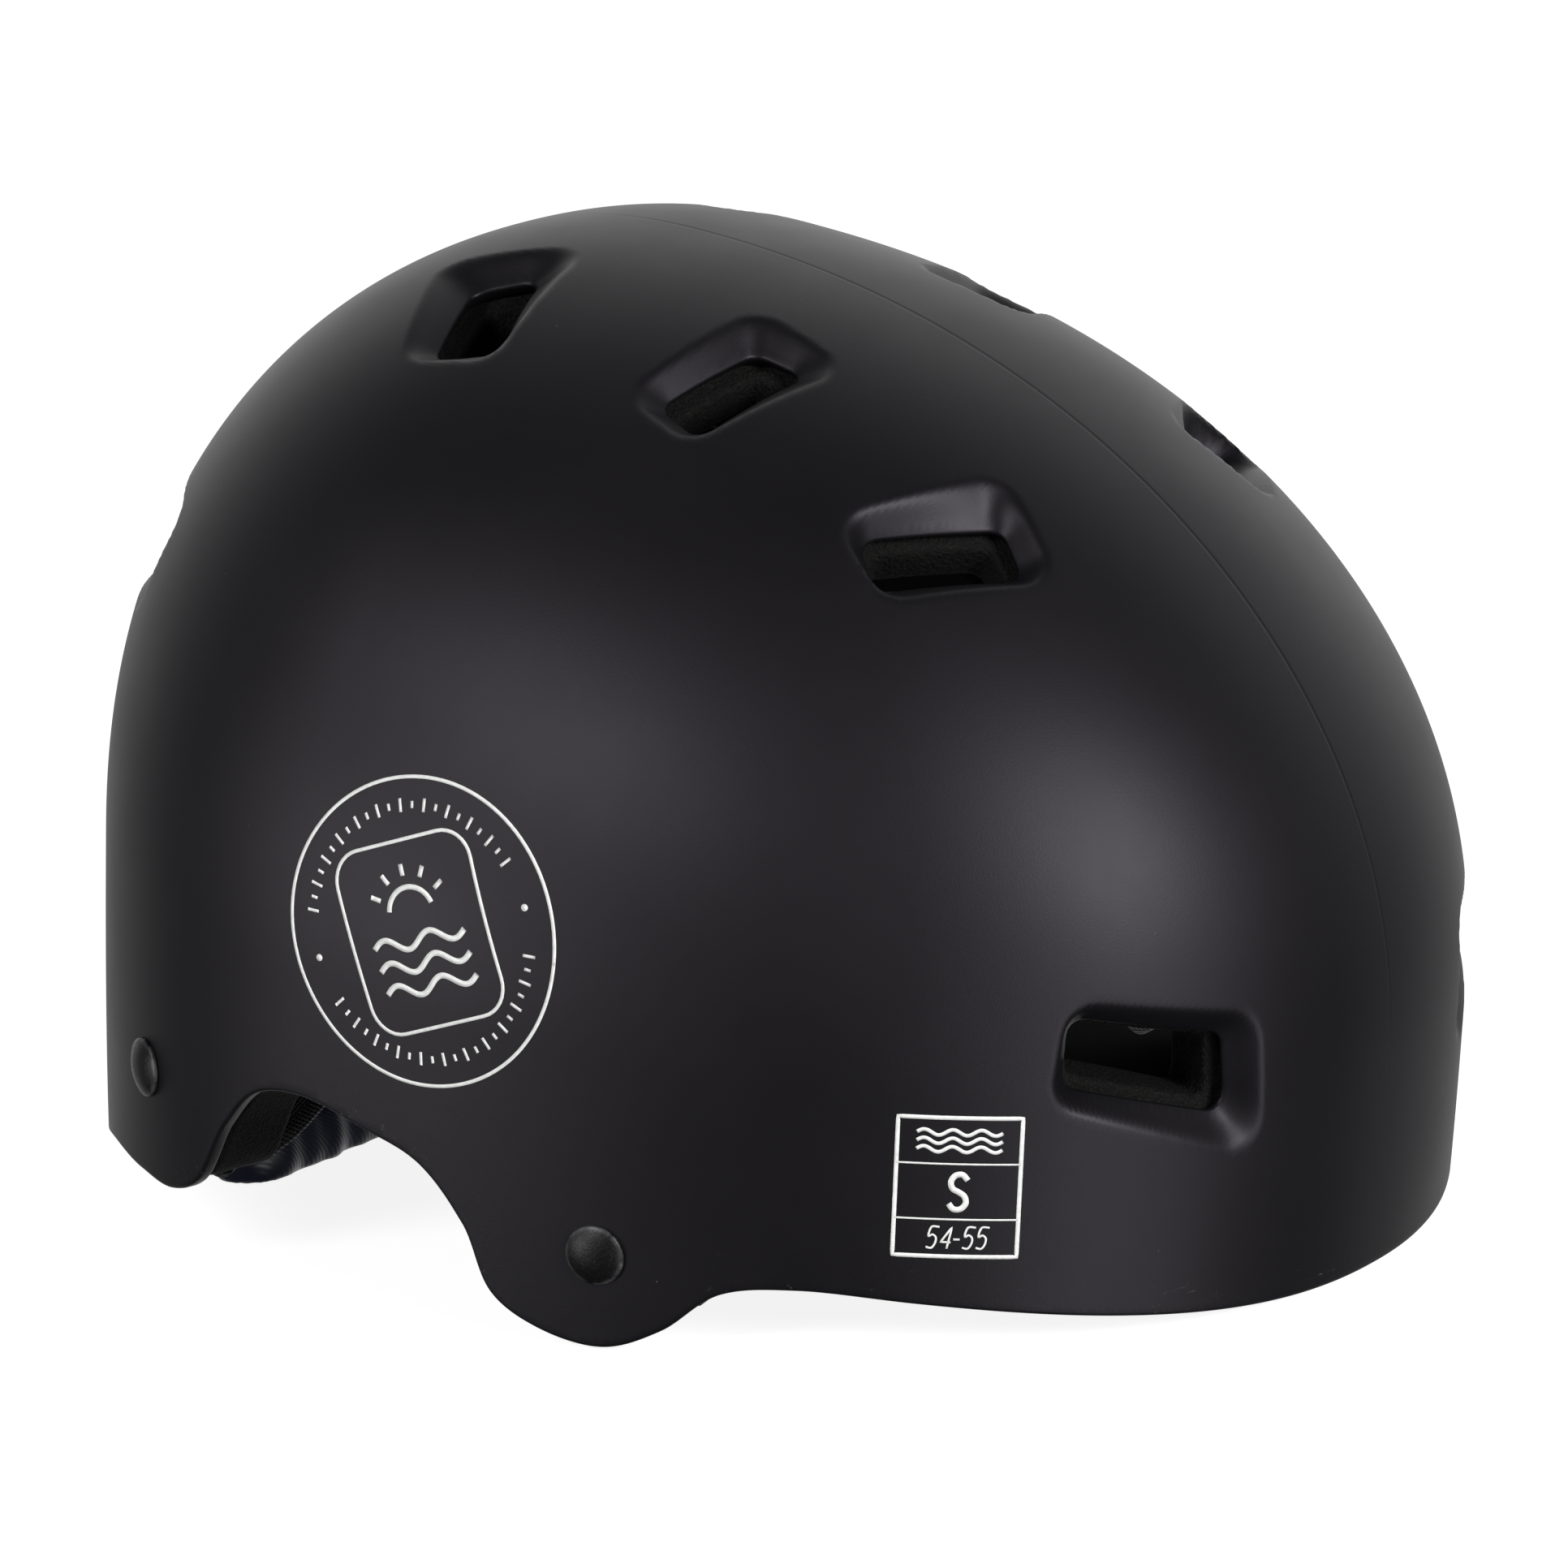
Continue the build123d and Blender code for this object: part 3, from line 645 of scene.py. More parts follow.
def build_label():
    """A frame in three fields: a wave, the letter S and the head size in centimetres."""
    origin = dome_hit(RAY_CENTRE, np.array(LABEL_POINT) - RAY_CENTRE)
    art = Print(origin, (0, 0, 1), -1)
    w, h = LABEL_W / 2 - LINE_W / 2, LABEL_H / 2 - LINE_W / 2
    art.line([(-w, -h), (w, -h), (w, h), (-w, h)], LINE_W + 0.1, closed=True)
    high, low = 0.165 * LABEL_H, -0.225 * LABEL_H
    for y in (high, low):
        art.line([(-w, y), (w, y)], 0.3)
    top = (high + h) / 2
    for k in (-1, 0, 1):
        art.line(wave(-7.2, 7.2, top + 1.5 * k, 0.5, 3), 0.62)
    mid = (high + low) / 2

    def glyph(strokes, x, y, wide, tall, width, slant, smooth):
        line = np.array(strokes) * [wide, tall] + [x, y]
        line[:, 0] += (line[:, 1] - y) * slant
        art.line(smooth_line(line, 60) if smooth else finer(line, 0.5), width)

    glyph(LETTER_S, -1.75, mid - 3.1, 3.5, 6.2, 1.0, 0.05, True)
    base = (low - h) / 2 - 1.95
    for x, strokes, smooth in ((-5.1, FIVE, True), (-2.7, FOUR, False), (1.0, FIVE, True), (3.3, FIVE, True)):
        glyph(strokes, x, base, 1.75, 3.9, 0.34, 0.2, smooth)
    art.line([(-0.35, base + 1.7), (0.75, base + 1.7)], 0.36)
    return art.mesh("size_mark")


# ---------------------------------------------------------------- rivets (the washers keep their CAD shape)
def lathe(profile, count=64):
    """Points and faces of a profile (r, z) turned about z, starting on the axis."""
    a = np.linspace(0, 2 * math.pi, count, endpoint=False)
    points, faces = [np.array([[0, 0, profile[0][1]]])], []
    for r, z in profile[1:]:
        points.append(np.stack([r * np.cos(a), r * np.sin(a), np.full(count, z)], -1))
    for k in range(count):
        faces.append([0, 1 + k, 1 + (k + 1) % count])
    for row in range(len(profile) - 2):
        base = 1 + row * count
        for k in range(count):
            m = (k + 1) % count
            faces.append([base + k, base + count + k, base + count + m, base + m])
    return np.vstack(points), faces


def rivet_axes(name):
    y, z = RIVETS[name]
    origin = dome_hit(np.array([0.0, y, z]), np.array([-1.0, 0, 0]))
    normal = dome_normal(origin)
    x_axis = unit(np.cross((0, 0, 1), normal))
    return origin, np.array([x_axis, np.cross(normal, x_axis), normal])


HEAD = ([(5.0 * k / 14, 0.75 + 1.2 * (1 - (k / 14) ** 2.3)) for k in range(15)]
        + [(5.1, 0.68), (5.22, 0.62), (5.3, 0.5), (5.34, 0.3), (5.3, 0.02), (5.1, -0.15)])
SHAFT = [(2.4, -0.2), (2.4, -8.0), (3.2, -8.1), (3.4, -8.5), (2.9, -8.9), (0, -9.0)]


def build_rivet(name, side):
    origin, axes = rivet_axes(name)
    local, faces = lathe(HEAD + SHAFT)
    points = (origin + local @ axes) * np.array([-side, 1, 1])
    if side > 0:
        faces = [f[::-1] for f in faces]
    rivet = make_mesh(f"rivet_head_{name}_" + ("right" if side < 0 else "left"), set_down(points), faces)
    mesh_attribute(rivet, "edge", np.clip((np.hypot(local[:, 0], local[:, 1]) - 4.6) / 0.6, 0, 1))
    return rivet


# ---------------------------------------------------------------- webbing
WEB_HALF = 10.0
WEB_T = 1.5
TAB_DEPTH = 5.0
TAB_TOP = 9.0
LOW_TUCK = {"front": 0.4, "rear": 1.6}    # how much deeper a tab lies at the rim
STRAP_LEAN = 5.0
CHIN_LEAN = 27.0
DIVIDER_V = 50.0
STRAP_HALF_SPAN = (RIVETS["rear"][0] - RIVETS["front"][0]) / 2


def lean_axes(lean):
    """Axes of the stowed straps' plane: along the fold, up the wall, and inwards."""
    along = unit([FOLD_X["front"] - FOLD_X["rear"], RIVETS["rear"][0] - RIVETS["front"][0], 0])
    inwards = np.cross(along, (0, 0, 1))
    lean = math.radians(lean)
    z_dir = inwards * math.cos(lean) - np.array([0, 0, 1]) * math.sin(lean)
    return np.array([along, np.cross(z_dir, along), z_dir])


FOLD_MIDDLE = np.array([-(FOLD_X["front"] + FOLD_X["rear"]) / 2,
                        (RIVETS["front"][0] + RIVETS["rear"][0]) / 2, FOLD_Z])
STRAP_AXES = lean_axes(STRAP_LEAN)
CHIN_AXES = lean_axes(CHIN_LEAN)
CHIN_ORIGIN = FOLD_MIDDLE + (DIVIDER_V + 14.0) * STRAP_AXES[1]


def band(name, path, across, side):
    """Flat webbing along a path, with rounded selvedges and its length and width kept as UVs."""
    path, across = np.asarray(path, float), unit(np.asarray(across, float))
    run = unit(np.gradient(path, axis=0))
    across = unit(across - run * (across * run).sum(-1, keepdims=True))
    up = np.cross(run, across)
    length = np.concatenate([[0], np.cumsum(np.linalg.norm(np.diff(path, axis=0), axis=1))])
    flat = np.linspace(-1, 1, 13)
    lip = WEB_T / 2
    section = [(f, 1.0) for f in flat] + [(1.0, 0.5), (1.0, -0.5)]
    section += [(f, -1.0) for f in flat[::-1]] + [(-1.0, -0.5), (-1.0, 0.5)]
    section = np.array(section)
    bulge = np.array([0.35 if abs(h) < 0.9 else 0.0 for _, h in section])
    rows, uvs = [], []
    for c, (f, h) in enumerate(section):
        at_edge = abs(f) > 0.99
        corner = lip * 0.55 if at_edge and abs(h) > 0.9 else 0
        offset = f * (WEB_HALF - corner) + np.sign(f) * bulge[c] * lip
        rows.append(path + across * offset + up * (h * lip * (0.86 if at_edge else 1.0)))
        uvs.append(np.stack([np.full_like(length, offset), length], -1))
    points, uv = np.stack(rows, 1), np.stack(uvs, 1)
    n, m = points.shape[:2]
    faces = [[i * m + j, i * m + (j + 1) % m, (i + 1) * m + (j + 1) % m, (i + 1) * m + j]
             for i in range(n - 1) for j in range(m)]
    faces += [[j for j in reversed(range(m))], [(n - 1) * m + j for j in range(m)]]
    if side > 0:
        faces = [f[::-1] for f in faces]
    flat_points = points.reshape(-1, 3) * np.array([-side, 1, 1])
    obj = make_mesh(name, set_down(flat_points), faces)
    layer = obj.data.uv_layers.new(name="weave")
    order = np.zeros(len(obj.data.loops), int)
    obj.data.loops.foreach_get("vertex_index", order)
    layer.data.foreach_set("uv", uv.reshape(-1, 2)[order].ravel() / 10)
    sharpen(obj, 55)
    return obj


def build_leg(name, side):
    """Webbing from a rivet, round the shell's rim and up to the divider, in one piece."""
    sign = -1 if name == "front" else 1
    origin, axes = rivet_axes(name)
    down = axes[1]
    top = origin + down * TAB_TOP - axes[2] * TAB_DEPTH
    low_share = (origin[2] - FOLD_Z - 3.0) / down[2]
    low = origin - down * low_share - axes[2] * (TAB_DEPTH + LOW_TUCK[name])
    turn_out = low + np.array([0.6, 0, -3.0])
    foot = FOLD_MIDDLE + STRAP_AXES[0] * STRAP_HALF_SPAN * sign
    foot = foot + STRAP_AXES[2] * (sign * 0.9)
    head = (FOLD_MIDDLE + STRAP_AXES[0] * 7.0 * sign + STRAP_AXES[1] * (DIVIDER_V + 2)
            + STRAP_AXES[2] * (sign * 0.9))
    rise = foot + (head - foot) * 0.085
    under = np.array([(turn_out[0] + foot[0]) / 2, RIVETS[name][0], FOLD_Z])
    knots = [top, (top + low) / 2, low, turn_out, under, foot + np.array([-1.6, 0, 0.5]), rise,
             foot + (head - foot) * 0.35, foot + (head - foot) * 0.7, head]
    path = smooth_line(knots, 150)
    end = unit(np.cross(unit(head - foot), STRAP_AXES[2]))
    end = end * np.sign(end @ STRAP_AXES[0])
    start = axes[0] * np.sign(axes[0] @ STRAP_AXES[0])
    length = np.concatenate([[0], np.cumsum(np.linalg.norm(np.diff(path, axis=0), axis=1))])
    at_foot = length[np.argmin(np.linalg.norm(path - foot, axis=1))]
    to_fold = np.clip(length / at_foot, 0, 1)[:, None]
    to_end = np.clip((length - at_foot) / 22, 0, 1)[:, None]
    to_end = to_end * to_end * (3 - 2 * to_end)
    across = (start * (1 - to_fold) + STRAP_AXES[0] * to_fold) * (1 - to_end) + end * to_end
    word = "right" if side < 0 else "left"
    obj = band(f"webbing_{name}_{word}", path, across, side)
    flip = np.array([-side, 1, 1])
    a = set_down((foot + np.array([-5.0, 0, 0.0])) * flip)
    b = set_down((foot + np.array([0.2, 0, 1.6])) * flip)
    return obj, a, b


def chin_path(length, start=-5.0, steps=40):
    """Points up the stowed chin strap from the divider."""
    v = np.linspace(start, length, steps)
    return CHIN_ORIGIN + v[:, None] * CHIN_AXES[1]


def stitch_row(name, points, normals, side, length=2.6, gap=1.3, radius=0.28):
    """A row of thread stitches lying on a surface."""
    points = np.asarray(points, float)
    normals = np.broadcast_to(np.asarray(normals, float), points.shape)
    run = np.concatenate([[0], np.cumsum(np.linalg.norm(np.diff(points, axis=0), axis=1))])
    verts, faces = [], []
    at = 0.4
    while at + length < run[-1]:
        samples = np.linspace(at, at + length, 6)
        centre = np.stack([np.interp(samples, run, points[:, k]) for k in range(3)], -1)
        up = unit(np.stack([np.interp(samples, run, normals[:, k]) for k in range(3)], -1))
        tangent = unit(centre[-1] - centre[0])
        arch = np.sin(np.linspace(0, math.pi, 6))
        lift = (arch * 0.75 - 0.35) * radius
        girth = radius * (0.45 + 0.55 * np.sqrt(arch))
        aside = np.cross(tangent, up)
        first = sum(len(v) for v in verts)
        ring = np.linspace(0, 2 * math.pi, 6, endpoint=False)
        for c, u, s, l, g in zip(centre, up, aside, lift, girth):
            verts.append(c + u * l + np.cos(ring)[:, None] * s * g + np.sin(ring)[:, None] * u * g)
        for i in range(5):
            for j in range(6):
                a, b = first + i * 6 + j, first + i * 6 + (j + 1) % 6
                faces.append([a, b, b + 6, a + 6])
        faces += [[first + j for j in reversed(range(6))], [first + 30 + j for j in range(6)]]
        at += length + gap
    pts = np.vstack(verts) * np.array([-side, 1, 1])
    if side > 0:
        faces = [f[::-1] for f in faces]
    return make_mesh(name, set_down(pts), faces)


# ---------------------------------------------------------------- pads
def positions(mesh):
    out = np.zeros(len(mesh.vertices) * 3)
    mesh.vertices.foreach_get("co", out)
    return out.reshape(-1, 3)


def put(mesh, points):
    mesh.vertices.foreach_set("co", np.asarray(points, float).ravel())
    mesh.update()


def normals_of(mesh):
    out = np.zeros(len(mesh.vertices) * 3)
    mesh.vertex_normals.foreach_get("vector", out)
    return out.reshape(-1, 3)


def bake(obj):
    """Apply every modifier."""
    graph = bpy.context.evaluated_depsgraph_get()
    mesh = bpy.data.meshes.new_from_object(obj.evaluated_get(graph))
    obj.modifiers.clear()
    obj.data = mesh
    return mesh


def lift_back(points):
    """Row frame in metres to the level frame in mm."""
    x, y, z = np.moveaxis(np.asarray(points) / MM, -1, 0)
    y, z = y + MIDDLE_Y, z - LIFT
    c, s = math.cos(TILT), math.sin(TILT)
    return np.stack([x, y * c + z * s, -y * s + z * c], -1)


def inflate(node, name, voxel=0.004, cap=0.004, shrink=0.0009, soften=10, keep_back=True, settle=3):
    """A pad blown up by cloth pressure from its CAD solid, held where it lies on the foam."""
    source = bpy.data.objects[node]
    mesh = source.data.copy()
    mesh.transform(source.matrix_world)
    pad = bpy.data.objects.new(name, mesh)
    bpy.context.scene.collection.objects.link(pad)
    remesh = pad.modifiers.new("remesh", "REMESH")
    remesh.mode, remesh.voxel_size = "VOXEL", voxel
    smooth = pad.modifiers.new("smooth", "SMOOTH")
    smooth.factor, smooth.iterations = 0.5, soften
    mesh = bake(pad)
    put(mesh, positions(mesh) - normals_of(mesh) * shrink)
    rest = positions(mesh)
    outward = dome_normal(lift_back(rest))
    row_outward = set_down(outward) - set_down(np.zeros(3))
    back = (unit(row_outward) * normals_of(mesh)).sum(-1) > 0.55
    held = pad.vertex_groups.new(name="held")
    if keep_back:
        held.add([int(i) for i in np.nonzero(back)[0]], 1.0, "ADD")
    cloth = pad.modifiers.new("cloth", "CLOTH")
    cloth.settings.quality = 6
    cloth.settings.mass = 0.2
    cloth.settings.use_pressure = True
    cloth.settings.uniform_pressure_force = 4
    cloth.settings.tension_stiffness = cloth.settings.compression_stiffness = 12
    cloth.settings.bending_stiffness = 0.6
    cloth.settings.effector_weights.gravity = 0
    if keep_back:
        cloth.settings.vertex_group_mass = "held"
    cloth.point_cache.frame_start, cloth.point_cache.frame_end = 1, 20
    for step in range(1, 21):
        bpy.context.scene.frame_set(step)
    mesh = bake(pad)
    bpy.context.scene.frame_set(1)
    move = positions(mesh) - rest
    size = np.linalg.norm(move, axis=1, keepdims=True)
    put(mesh, rest + move * np.minimum(1, cap / np.maximum(size, 1e-9)))
    pad.vertex_groups.clear()
    calm = pad.modifiers.new("calm", "SMOOTH")
    calm.factor, calm.iterations = 0.5, settle
    sub = pad.modifiers.new("sub", "SUBSURF")
    sub.levels = sub.render_levels = 2
    mesh = bake(pad)
    mesh.shade_smooth()
    pad.data.materials.clear()
    return pad


def facing_in(pad):
    """How far each point of a pad faces the head, 0 to 1, with its place and normal in mm."""
    points = lift_back(positions(pad.data))
    normal = normals_of(pad.data)
    c, s = math.cos(TILT), math.sin(TILT)
    x, y, z = normal.T
    normal = np.stack([x, y * c + z * s, -y * s + z * c], -1)
    inward = -dome_normal(points)
    return np.clip((normal * inward).sum(-1), 0, 1), points, normal


def press(pad, depth):
    """Move points inwards along their normals, by a depth in mm for each point."""
    mesh = pad.data
    put(mesh, positions(mesh) - normals_of(mesh) * (np.asarray(depth) * MM)[:, None])


def groove(distance, width):
    """A rounded channel: 1 on its line, 0 a width away."""
    return np.exp(-(distance / width) ** 2)


def build_brow_pad():
    pad = inflate("brow_pad", "brow_pad_cloth", voxel=0.004, cap=0.0035)
    inward, p, _ = facing_in(pad)
    turn = np.degrees(np.arctan2(p[:, 0], -(p[:, 1] + 20)))
    depth = np.zeros(len(p))
    for line in (-50, -25, 0, 25, 50):
        depth += 1.5 * groove((turn - line) * 1.75, 1.7)
    depth += 0.8 * groove(p[:, 2] - 6.2, 1.4) + 0.8 * groove(p[:, 2] + 13.4, 1.4)
    press(pad, depth * inward)
    return pad


def build_crown_pad():
    pad = inflate("crown_pad", "crown_pad_cloth", voxel=0.0035, cap=0.003)
    inward, p, _ = facing_in(pad)
    oval = np.hypot(p[:, 0] / 26, (p[:, 1] + 20) / 58)
    depth = 0.9 * groove((oval - 0.84) * 32, 1.5)
    for y in (-38, -2):
        depth = depth + 1.3 * groove(p[:, 1] - y, 1.7)
    press(pad, depth * inward)
    return pad


def build_side_pad(word):
    pad = inflate(f"side_pad_{word}", f"side_pad_cloth_{word}", voxel=0.0032, cap=0.0028)
    inward, p, _ = facing_in(pad)
    edge = np.maximum(np.abs(p[:, 1] + 7) - 24.5, np.abs(p[:, 2] - 21) - 7.5)
    depth = 0.8 * groove(edge + 1.5, 1.3) + 1.2 * groove(p[:, 1] + 7, 1.6)
    press(pad, depth * inward)
    return pad


def build_nape_pad():
    """The nape pad's satin cover, gathered into a soft roll along its lower front edge."""
    pad = inflate("nape_pad", "nape_pad_cloth", voxel=0.003, cap=0.004, shrink=-0.0004, soften=18, settle=10)
    _, p, n = facing_in(pad)
    front = np.clip((76 - p[:, 1]) / 22, 0, 1) * np.clip((-14 - p[:, 2]) / 12, 0, 1)
    pull = (np.sin(p[:, 0] * 0.41 + 1.1 * np.sin(p[:, 0] * 0.13 + p[:, 2] * 0.05))
            + 0.6 * np.sin(p[:, 0] * 0.93 + 0.9 * np.sin(p[:, 2] * 0.17)))
    swell = (2.6 + 0.28 * pull) * front
    level = p[:, 2] + REST_SLOPE * (p[:, 1] - REST_FRONT_Y) - BROW_RIM_Z
    seam = 1.2 * groove(level - 13.0, 1.7) * (n[:, 1] < 0.4)
    press(pad, seam - swell)
    mesh = pad.data
    at = positions(mesh)
    at[:, 2] = np.maximum(at[:, 2], 0.0004)
    put(mesh, at)
    return pad


def build_chin_pad():
    """A soft sleeve on the chin strap, with a seam along each edge."""
    pad = inflate("chin_pad", "chin_pad_cloth", voxel=0.0022, cap=0.0016, shrink=0.0004, soften=3,
                  keep_back=False)
    local = (lift_back(positions(pad.data)) - CHIN_ORIGIN) @ CHIN_AXES.T
    face = np.abs(local[:, 2]) > 2.0
    edge = np.abs(np.abs(local[:, 0]) - 10.6)
    press(pad, 0.5 * groove(edge, 0.9) * face)
    return pad


# ---------------------------------------------------------------- materials
class Graph:
    """Short names for the shader nodes of one material."""

    def __init__(self, name, **sockets):
        self.mat = bpy.data.materials.new(name)
        self.mat.use_nodes = True
        self.tree = self.mat.node_tree
        self.bsdf = self.tree.nodes["Principled BSDF"]
        for key, value in sockets.items():
            self.bsdf.inputs[key.replace("_", " ")].default_value = value
        self.place = self.add("ShaderNodeTexCoord").outputs["Object"]

    def add(self, kind, **settings):
        node = self.tree.nodes.new(kind)
        for key, value in settings.items():
            setattr(node, key, value)
        return node

    def link(self, value, socket):
        if isinstance(value, (int, float, tuple)):
            socket.default_value = value
        else:
            self.tree.links.new(value, socket)

    def math(self, operation, *values, clamp=False):
        node = self.add("ShaderNodeMath", operation=operation, use_clamp=clamp)
        for value, socket in zip(values, node.inputs):
            self.link(value, socket)
        return node.outputs[0]

    def noise(self, scale, detail=2.0, rough=0.5, place=None):
        node = self.add("ShaderNodeTexNoise")
        self.link(place or self.place, node.inputs["Vector"])
        for key, value in (("Scale", scale), ("Detail", detail), ("Roughness", rough)):
            node.inputs[key].default_value = value
        return node.outputs["Fac"]

    def cells(self, scale, feature="F1"):
        node = self.add("ShaderNodeTexVoronoi", feature=feature)
        self.link(self.place, node.inputs["Vector"])
        node.inputs["Scale"].default_value = scale
        return node.outputs["Distance"]

    def ramp(self, value, low, high, to_low=0.0, to_high=1.0):
        node = self.add("ShaderNodeMapRange", clamp=True)
        for key, number in zip(("Value", "From Min", "From Max", "To Min", "To Max"),
                               (value, low, high, to_low, to_high)):
            self.link(number, node.inputs[key])
        return node.outputs[0]

    def mix(self, share, a, b):
        node = self.add("ShaderNodeMix", data_type="RGBA")
        for key, value in ((0, share), (6, a), (7, b)):
            self.link(value, node.inputs[key])
        return node.outputs[2]

    def attribute(self, name):
        return self.add("ShaderNodeAttribute", attribute_name=name).outputs["Fac"]

    def bump(self, height, distance, strength=1.0, under=None):
        node = self.add("ShaderNodeBump")
        node.inputs["Distance"].default_value = distance
        node.inputs["Strength"].default_value = strength
        self.link(height, node.inputs["Height"])
        if under is not None:
            self.link(under, node.inputs["Normal"])
        return node.outputs[0]

    def finish(self, color=None, rough=None, normal=None):
        for value, key in ((color, "Base Color"), (rough, "Roughness"), (normal, "Normal")):
            if value is not None:
                self.link(value, self.bsdf.inputs[key])
        return self.mat


def shell_material():
    """Fine-grained matte black ABS, with a little dust, faint handling marks and a scuffed rim."""
    g = Graph("shell_abs", IOR=1.5, Specular_IOR_Level=0.28, Specular_Tint=(0.96, 0.90, 1.0, 1))
    cloudy = g.noise(22, 4, 0.6)
    grain = g.noise(2600, 2, 0.6)
    dust = g.math("LESS_THAN", g.cells(95), 0.013)
    dust = g.math("MULTIPLY", dust, g.ramp(g.noise(40, 2), 0.5, 0.62))
    stretched = g.add("ShaderNodeMapping")
    g.link(g.place, stretched.inputs["Vector"])
    stretched.inputs["Rotation"].default_value = (0.4, 0.3, 0.5)
    stretched.inputs["Scale"].default_value = (260, 900, 1500)
    streak = g.ramp(g.noise(1.0, 3, 0.5, stretched.outputs[0]), 0.66, 0.74)
    rim = g.attribute("edge")
    scuff = g.math("MULTIPLY", streak, g.ramp(rim, 0.08, 0.75), clamp=True)
    scuff = g.math("MULTIPLY", scuff, g.ramp(g.noise(70, 2), 0.5, 0.6))
    color = g.mix(cloudy, (0.0024, 0.0021, 0.0028, 1), (0.0036, 0.0032, 0.0042, 1))
    color = g.mix(g.math("MULTIPLY", scuff, 0.55), color, (0.09, 0.087, 0.092, 1))
    color = g.mix(g.math("MULTIPLY", dust, 0.5), color, (0.2, 0.195, 0.19, 1))
    rough = g.math("ADD", g.ramp(cloudy, 0.3, 0.7, 0.455, 0.51), g.math("MULTIPLY", scuff, -0.1))
    return g.finish(color, rough, g.bump(grain, 0.00003, 0.55))


def foam_material():
    """Charcoal EVA foam with open cells on its cut faces."""
    g = Graph("foam_eva", IOR=1.45, Specular_IOR_Level=0.12)
    coarse = g.noise(900, 3, 0.65)
    pores = g.cells(1500)
    speck = g.ramp(g.noise(2400, 2, 0.7), 0.52, 0.78)
    color = g.mix(g.ramp(coarse, 0.35, 0.7), (0.004, 0.004, 0.004, 1), (0.0075, 0.0075, 0.0072, 1))
    color = g.mix(g.math("MULTIPLY", speck, 0.5), color, (0.030, 0.030, 0.027, 1))
    height = g.math("ADD", coarse, g.math("MULTIPLY", pores, 0.8))
    return g.finish(color, g.ramp(coarse, 0.3, 0.7, 0.78, 0.92), g.bump(height, 0.00035, 0.9))


def mesh_material():
    """Knitted spacer mesh: rows of small round holes, coloured dark inside as painted shade."""
    g = Graph("pad_mesh", Sheen_Weight=0.25, Sheen_Roughness=0.5, IOR=1.45, Specular_IOR_Level=0.18)
    holes = g.cells(620)
    yarn = g.noise(3200, 2, 0.6)
    open_hole = g.ramp(holes, 0.16, 0.36)
    # Painted shade: the holes are coloured near black, darker than the yarn.
    color = g.mix(open_hole, (0.004, 0.004, 0.005, 1), (0.030, 0.030, 0.034, 1))
    color = g.mix(g.ramp(yarn, 0.4, 0.8, 0.0, 0.4), color, (0.058, 0.058, 0.064, 1))
    height = g.math("ADD", open_hole, g.math("MULTIPLY", yarn, 0.25))
    return g.finish(color, 0.8, g.bump(height, 0.0005, 0.85))


def satin_material():
    """Navy-black satin lining with a fine diagonal twill and soft creases."""
    g = Graph("pad_satin", Sheen_Weight=0.06, Sheen_Roughness=0.35, IOR=1.5, Specular_IOR_Level=0.3)
    wave_node = g.add("ShaderNodeTexWave", bands_direction="DIAGONAL")
    g.link(g.place, wave_node.inputs["Vector"])
    for key, value in (("Scale", 620.0), ("Distortion", 0.6), ("Detail", 1.0)):
        wave_node.inputs[key].default_value = value
    creases = g.noise(75, 3, 0.5)
    tone = g.noise(30, 2)
    color = g.mix(tone, (0.0045, 0.0052, 0.012, 1), (0.0075, 0.0088, 0.019, 1))
    normal = g.bump(creases, 0.0006, 0.6)
    normal = g.bump(wave_node.outputs["Fac"], 0.00006, 0.5, normal)
    return g.finish(color, g.ramp(creases, 0.3, 0.7, 0.30, 0.42), normal)


def webbing_material():
    """Woven polypropylene: chevron ribs across the width, threads along it, bound selvedges."""
    g = Graph("webbing", Sheen_Weight=0.15, Sheen_Roughness=0.4, IOR=1.48, Specular_IOR_Level=0.22)
    uv = g.add("ShaderNodeUVMap", uv_map="weave").outputs[0]
    parts = g.add("ShaderNodeSeparateXYZ")
    g.link(uv, parts.inputs[0])
    across, along = parts.outputs[0], parts.outputs[1]
    folded = g.math("PINGPONG", across, 0.25)
    slant = g.math("ADD", g.math("MULTIPLY", along, 62.0), g.math("MULTIPLY", folded, 46.0))
    rib = g.math("SINE", slant)
    thread = g.math("SINE", g.math("MULTIPLY", across, 95.0))
    height = g.math("ADD", g.math("MULTIPLY", rib, 0.6), g.math("MULTIPLY", thread, 0.4))
    fuzz = g.noise(2600, 2, 0.6)
    height = g.math("ADD", height, g.math("MULTIPLY", fuzz, 0.35))
    # Painted shade: the colour follows the weave's height, darker in the grooves and lighter on the ridges;
    # the fuzz adds random tone.
    color = g.mix(g.ramp(height, -0.8, 1.2), (0.003, 0.003, 0.0035, 1), (0.017, 0.017, 0.0185, 1))
    return g.finish(color, g.ramp(fuzz, 0.3, 0.7, 0.55, 0.72), g.bump(height, 0.0003, 0.9))


def moulded_material(name, color, rough, pits=0.4, scale=1700, level=0.3):
    """Moulded plastic or rubber with a spark-eroded grain and faint rub marks."""
    g = Graph(name, IOR=1.48, Specular_IOR_Level=level)
    grain = g.noise(scale, 2, 0.65)
    cloudy = g.noise(60, 3, 0.6)
    rub = g.ramp(g.noise(420, 4, 0.7), 0.62, 0.78)
    high = tuple(min(1.0, 1.35 * c) for c in color)
    tone = g.mix(cloudy, (*color, 1), (*high, 1))
    tone = g.mix(g.math("MULTIPLY", rub, 0.12), tone, (0.16, 0.16, 0.165, 1))
    return g.finish(tone, g.ramp(cloudy, 0.3, 0.7, rough - 0.05, rough + 0.06), g.bump(grain, 0.00006, pits))


